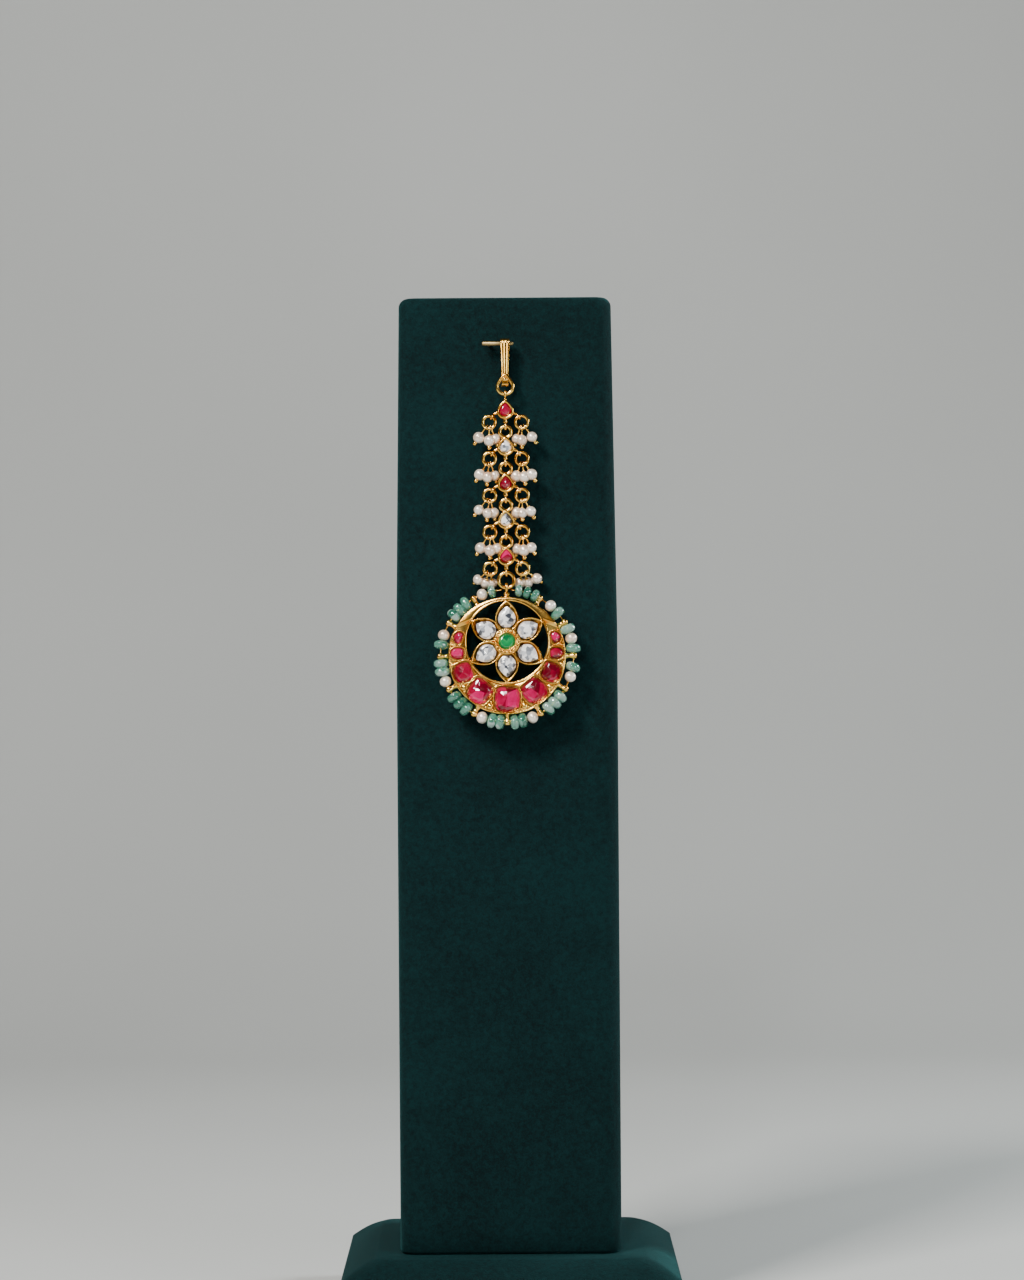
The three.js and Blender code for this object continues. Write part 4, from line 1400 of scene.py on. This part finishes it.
    def rondelle(self, size: float) -> Shell:
        """An uneven emerald rondelle about z: a lathe profile whose radius waves a little.

        Args:
            size: a scale on the usual bead.

        Returns:
            The bead, with its hole along z.
        """
        half = self.emerald_length / 2 * 1.15 * size
        t = np.linspace(-1, 1, 17)
        reach = self.emerald_radius * size * np.maximum(1 - np.abs(t) ** 2.8, 0) ** 0.45
        reach[[0, -1]] = 0
        u = np.linspace(0, TURN, 28, endpoint=False)[:, None]
        phase = self.random.uniform(0, TURN, 2)
        wave = 1 - 0.03 * (1 + np.sin(3 * u + phase[0])) - 0.02 * (1 + np.sin(5 * u + phase[1]))
        tilt = self.random.uniform(-0.1, 0.1)
        radius = reach[None] * wave
        height = half * t[None] + tilt * radius * np.cos(u) * 0.5
        return Shell().grid(np.stack([radius * np.cos(u), radius * np.sin(u), height], -1))

    def build(self, looks: dict) -> None:
        """Make and dress the pendant's pieces.

        Args:
            looks: the materials by slot name.
        """
        frame = Shell()
        for part in (
            self.crescent(), self.bands(), self.ruby_cells(), self.edge_ornament(), self.flower(),
            self.hardware(),
        ):
            frame.add(part)
        made = self.placed(frame).piece("gold_pendant", looks["gold_plate"])
        dress(made, Body.PENDANT, "gold_plate", "pendant_frame")
        self.build_stones(looks)
        for side, gaps in ((Side.LEFT, self.left_gaps), (Side.RIGHT, self.right_gaps)):
            hand = side.name.lower()
            emeralds, pearls, wire = self.string(gaps, side.value)
            made = self.placed(emeralds).piece(f"emeralds_{hand}", looks["emerald_bead"])
            dress(made, Body.PENDANT, "emerald_bead", f"bead_string_{hand}")
            made = self.placed(pearls).piece(f"string_pearls_{hand}", looks["pearl"])
            dress(made, Body.PENDANT, "pearl")
            made = self.placed(wire).piece(f"string_wire_{hand}", looks["gold_plate"])
            dress(made, Body.PENDANT, "gold_plate")

    def build_stones(self, looks: dict) -> None:
        """Make and dress the rubies, the petal stones and the centre stone.

        Args:
            looks: the materials by slot name.
        """
        for index, (angle, distance, height, width, power) in enumerate(self.ruby_places()):
            outline = shield(width - 0.1, height - 0.1, power, 14)
            stone = self.at_turn(cut_stone(outline, *self.ruby_cut, index + 20), angle, distance)
            made = self.placed(stone).piece(f"crescent_stone_{index + 1}", looks["ruby"], False)
            dress(made, Body.PENDANT, "ruby", f"ruby_{index + 1}")
        tip = self.opening + self.band / 2 - 2.3 * self.petal_wall
        width = self.petal_width - 2 * self.petal_wall
        outline = petal(width - 0.1, self.petal_inner + 1.5 * self.petal_wall + 0.06, tip - 0.08, 20)
        for index in range(self.petals):
            stone = cut_stone(outline, *self.petal_cut, index + 40)
            stone = Shell().add(stone, spin(index * TURN / self.petals, 1), (0, 0, self.rise))
            made = self.placed(stone).piece(f"flower_stone_{index + 1}", looks["white_stone"], False)
            dress(made, Body.PENDANT, "white_stone", f"petal_stone_{index + 1}")
        outline = squircle(self.centre_stone_width, self.centre_stone_width, 2.0, 16)
        middle = cut_stone(outline, *self.centre_cut, 60)
        made = self.placed(Shell().add(middle, np.eye(3), (0, 0, self.rise)))
        made = made.piece("middle_stone", looks["green_stone"], False)
        dress(made, Body.PENDANT, "green_stone", "centre_stone")


# Studio


@dataclass(frozen=True)
class Lamp:
    """One square area light: its place and side in metres, power in watts, and tint."""

    name: str
    place: tuple
    size: float
    power: float
    tint: tuple


@dataclass
class Studio:
    """Pale floor, soft lights, and the camera at the photograph's angle, all in metres."""

    lamps: tuple = (
        Lamp("key", (-0.5, -0.75, 0.95), 0.28, 18.0, (1.0, 0.97, 0.92)),
        Lamp("fill", (0.7, -0.8, 0.3), 0.3, 2.8, (0.95, 0.98, 1.0)),
        Lamp("rim", (0.75, 0.15, 0.45), 0.3, 6.0, (0.92, 1.0, 1.0)),
        Lamp("front", (-0.12, -1.1, 0.65), 0.08, 3.6, (1.0, 1.0, 1.0)),
    )
    lamp_aim_z: float = 0.2
    world_tint: tuple = (0.9, 0.95, 1.0, 1.0)
    world_strength: float = 0.06
    floor_tones: tuple = ((0.3, (0.60, 0.61, 0.60)), (0.7, (0.64, 0.65, 0.64)))
    floor_reach: float = 3.0
    floor_bend_start: float = 0.6
    floor_bend: float = 0.5
    distance: float = 1.0
    camera_x: float = 0.0014
    camera_z: float = 0.1871
    front_y: float = -0.029
    frame_height: float = 0.352
    roll: float = 0.4
    frame_aspect: float = 1024 / 1280
    sensor: float = 36.0

    def floor(self) -> None:
        """A pale floor that curves up into a backdrop behind the stand."""
        reach, bend, start = self.floor_reach, self.floor_bend, self.floor_bend_start
        t = np.linspace(0, np.pi / 2, 16)
        y = np.concatenate([[-reach, start], start + bend * np.sin(t), [start + bend]])
        z = np.concatenate([[0.0, 0.0], bend * (1 - np.cos(t)), [reach]])
        x = np.array([-reach, reach])
        points = np.stack(np.broadcast_arrays(x[:, None], y[None], z[None]), -1) / MM
        paper = Graph("floor_paper")
        paper.set(Base_Color=paper.ramp(paper.noise(3.0, 2.0), self.floor_tones), Roughness=0.8)
        Shell().grid(points, False, False).piece("floor", paper.material)

    def light(self, lamp: Lamp) -> None:
        """Add a lamp, aimed at the tikka.

        Args:
            lamp: what to add.
        """
        data = bpy.data.lights.new(lamp.name, "AREA")
        data.size = lamp.size
        data.energy = lamp.power
        data.color = lamp.tint
        made = bpy.data.objects.new(lamp.name, data)
        bpy.context.scene.collection.objects.link(made)
        back = np.array(lamp.place) - [0.0, self.front_y, self.lamp_aim_z]
        made.matrix_world = self._frame(back / np.linalg.norm(back), lamp.place)

    @staticmethod
    def _frame(back: Points, place: tuple) -> Matrix:
        """A matrix that looks along minus back from a place, with z up.

        Args:
            back: the unit vector that points away from the view.
            place: the matrix's origin.

        Returns:
            A 4 by 4 matrix.
        """
        right = np.cross([0.0, 0.0, 1.0], back)
        right = right / np.linalg.norm(right)
        up = np.cross(back, right)
        rows = [[right[i], up[i], back[i], place[i]] for i in range(3)]
        return Matrix([*rows, [0, 0, 0, 1]])

    def camera(self) -> None:
        """The camera: level, at the tikka's height, with the photograph's small roll."""
        data = bpy.data.cameras.new("camera")
        data.sensor_fit = "VERTICAL"
        data.sensor_height = self.sensor
        data.sensor_width = self.sensor * self.frame_aspect
        data.lens = self.sensor * self.distance / self.frame_height
        camera = bpy.data.objects.new("camera", data)
        bpy.context.scene.collection.objects.link(camera)
        camera.rotation_euler = (np.pi / 2, np.radians(self.roll), 0.0)
        camera.location = (self.camera_x, self.front_y - self.distance, self.camera_z)
        bpy.context.scene.camera = camera

    def build(self) -> None:
        """Set up the stage."""
        self.floor()
        world = bpy.data.worlds.new("studio")
        world.use_nodes = True
        background = world.node_tree.nodes["Background"]
        background.inputs["Color"].default_value = self.world_tint
        background.inputs["Strength"].default_value = self.world_strength
        bpy.context.scene.world = world
        for lamp in self.lamps:
            self.light(lamp)
        self.camera()


def main() -> None:
    """Build the looks in order."""
    logging.basicConfig(level=logging.INFO, format="%(message)s")
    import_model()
    looks = {finish.name: finish.material() for finish in FINISHES}
    stand = Stand()
    stand.build(looks)
    Hook().build(stand, looks)
    Chain().build(looks)
    Pendant().build(looks)
    Studio().build()


if __name__ == "__main__":
    main()
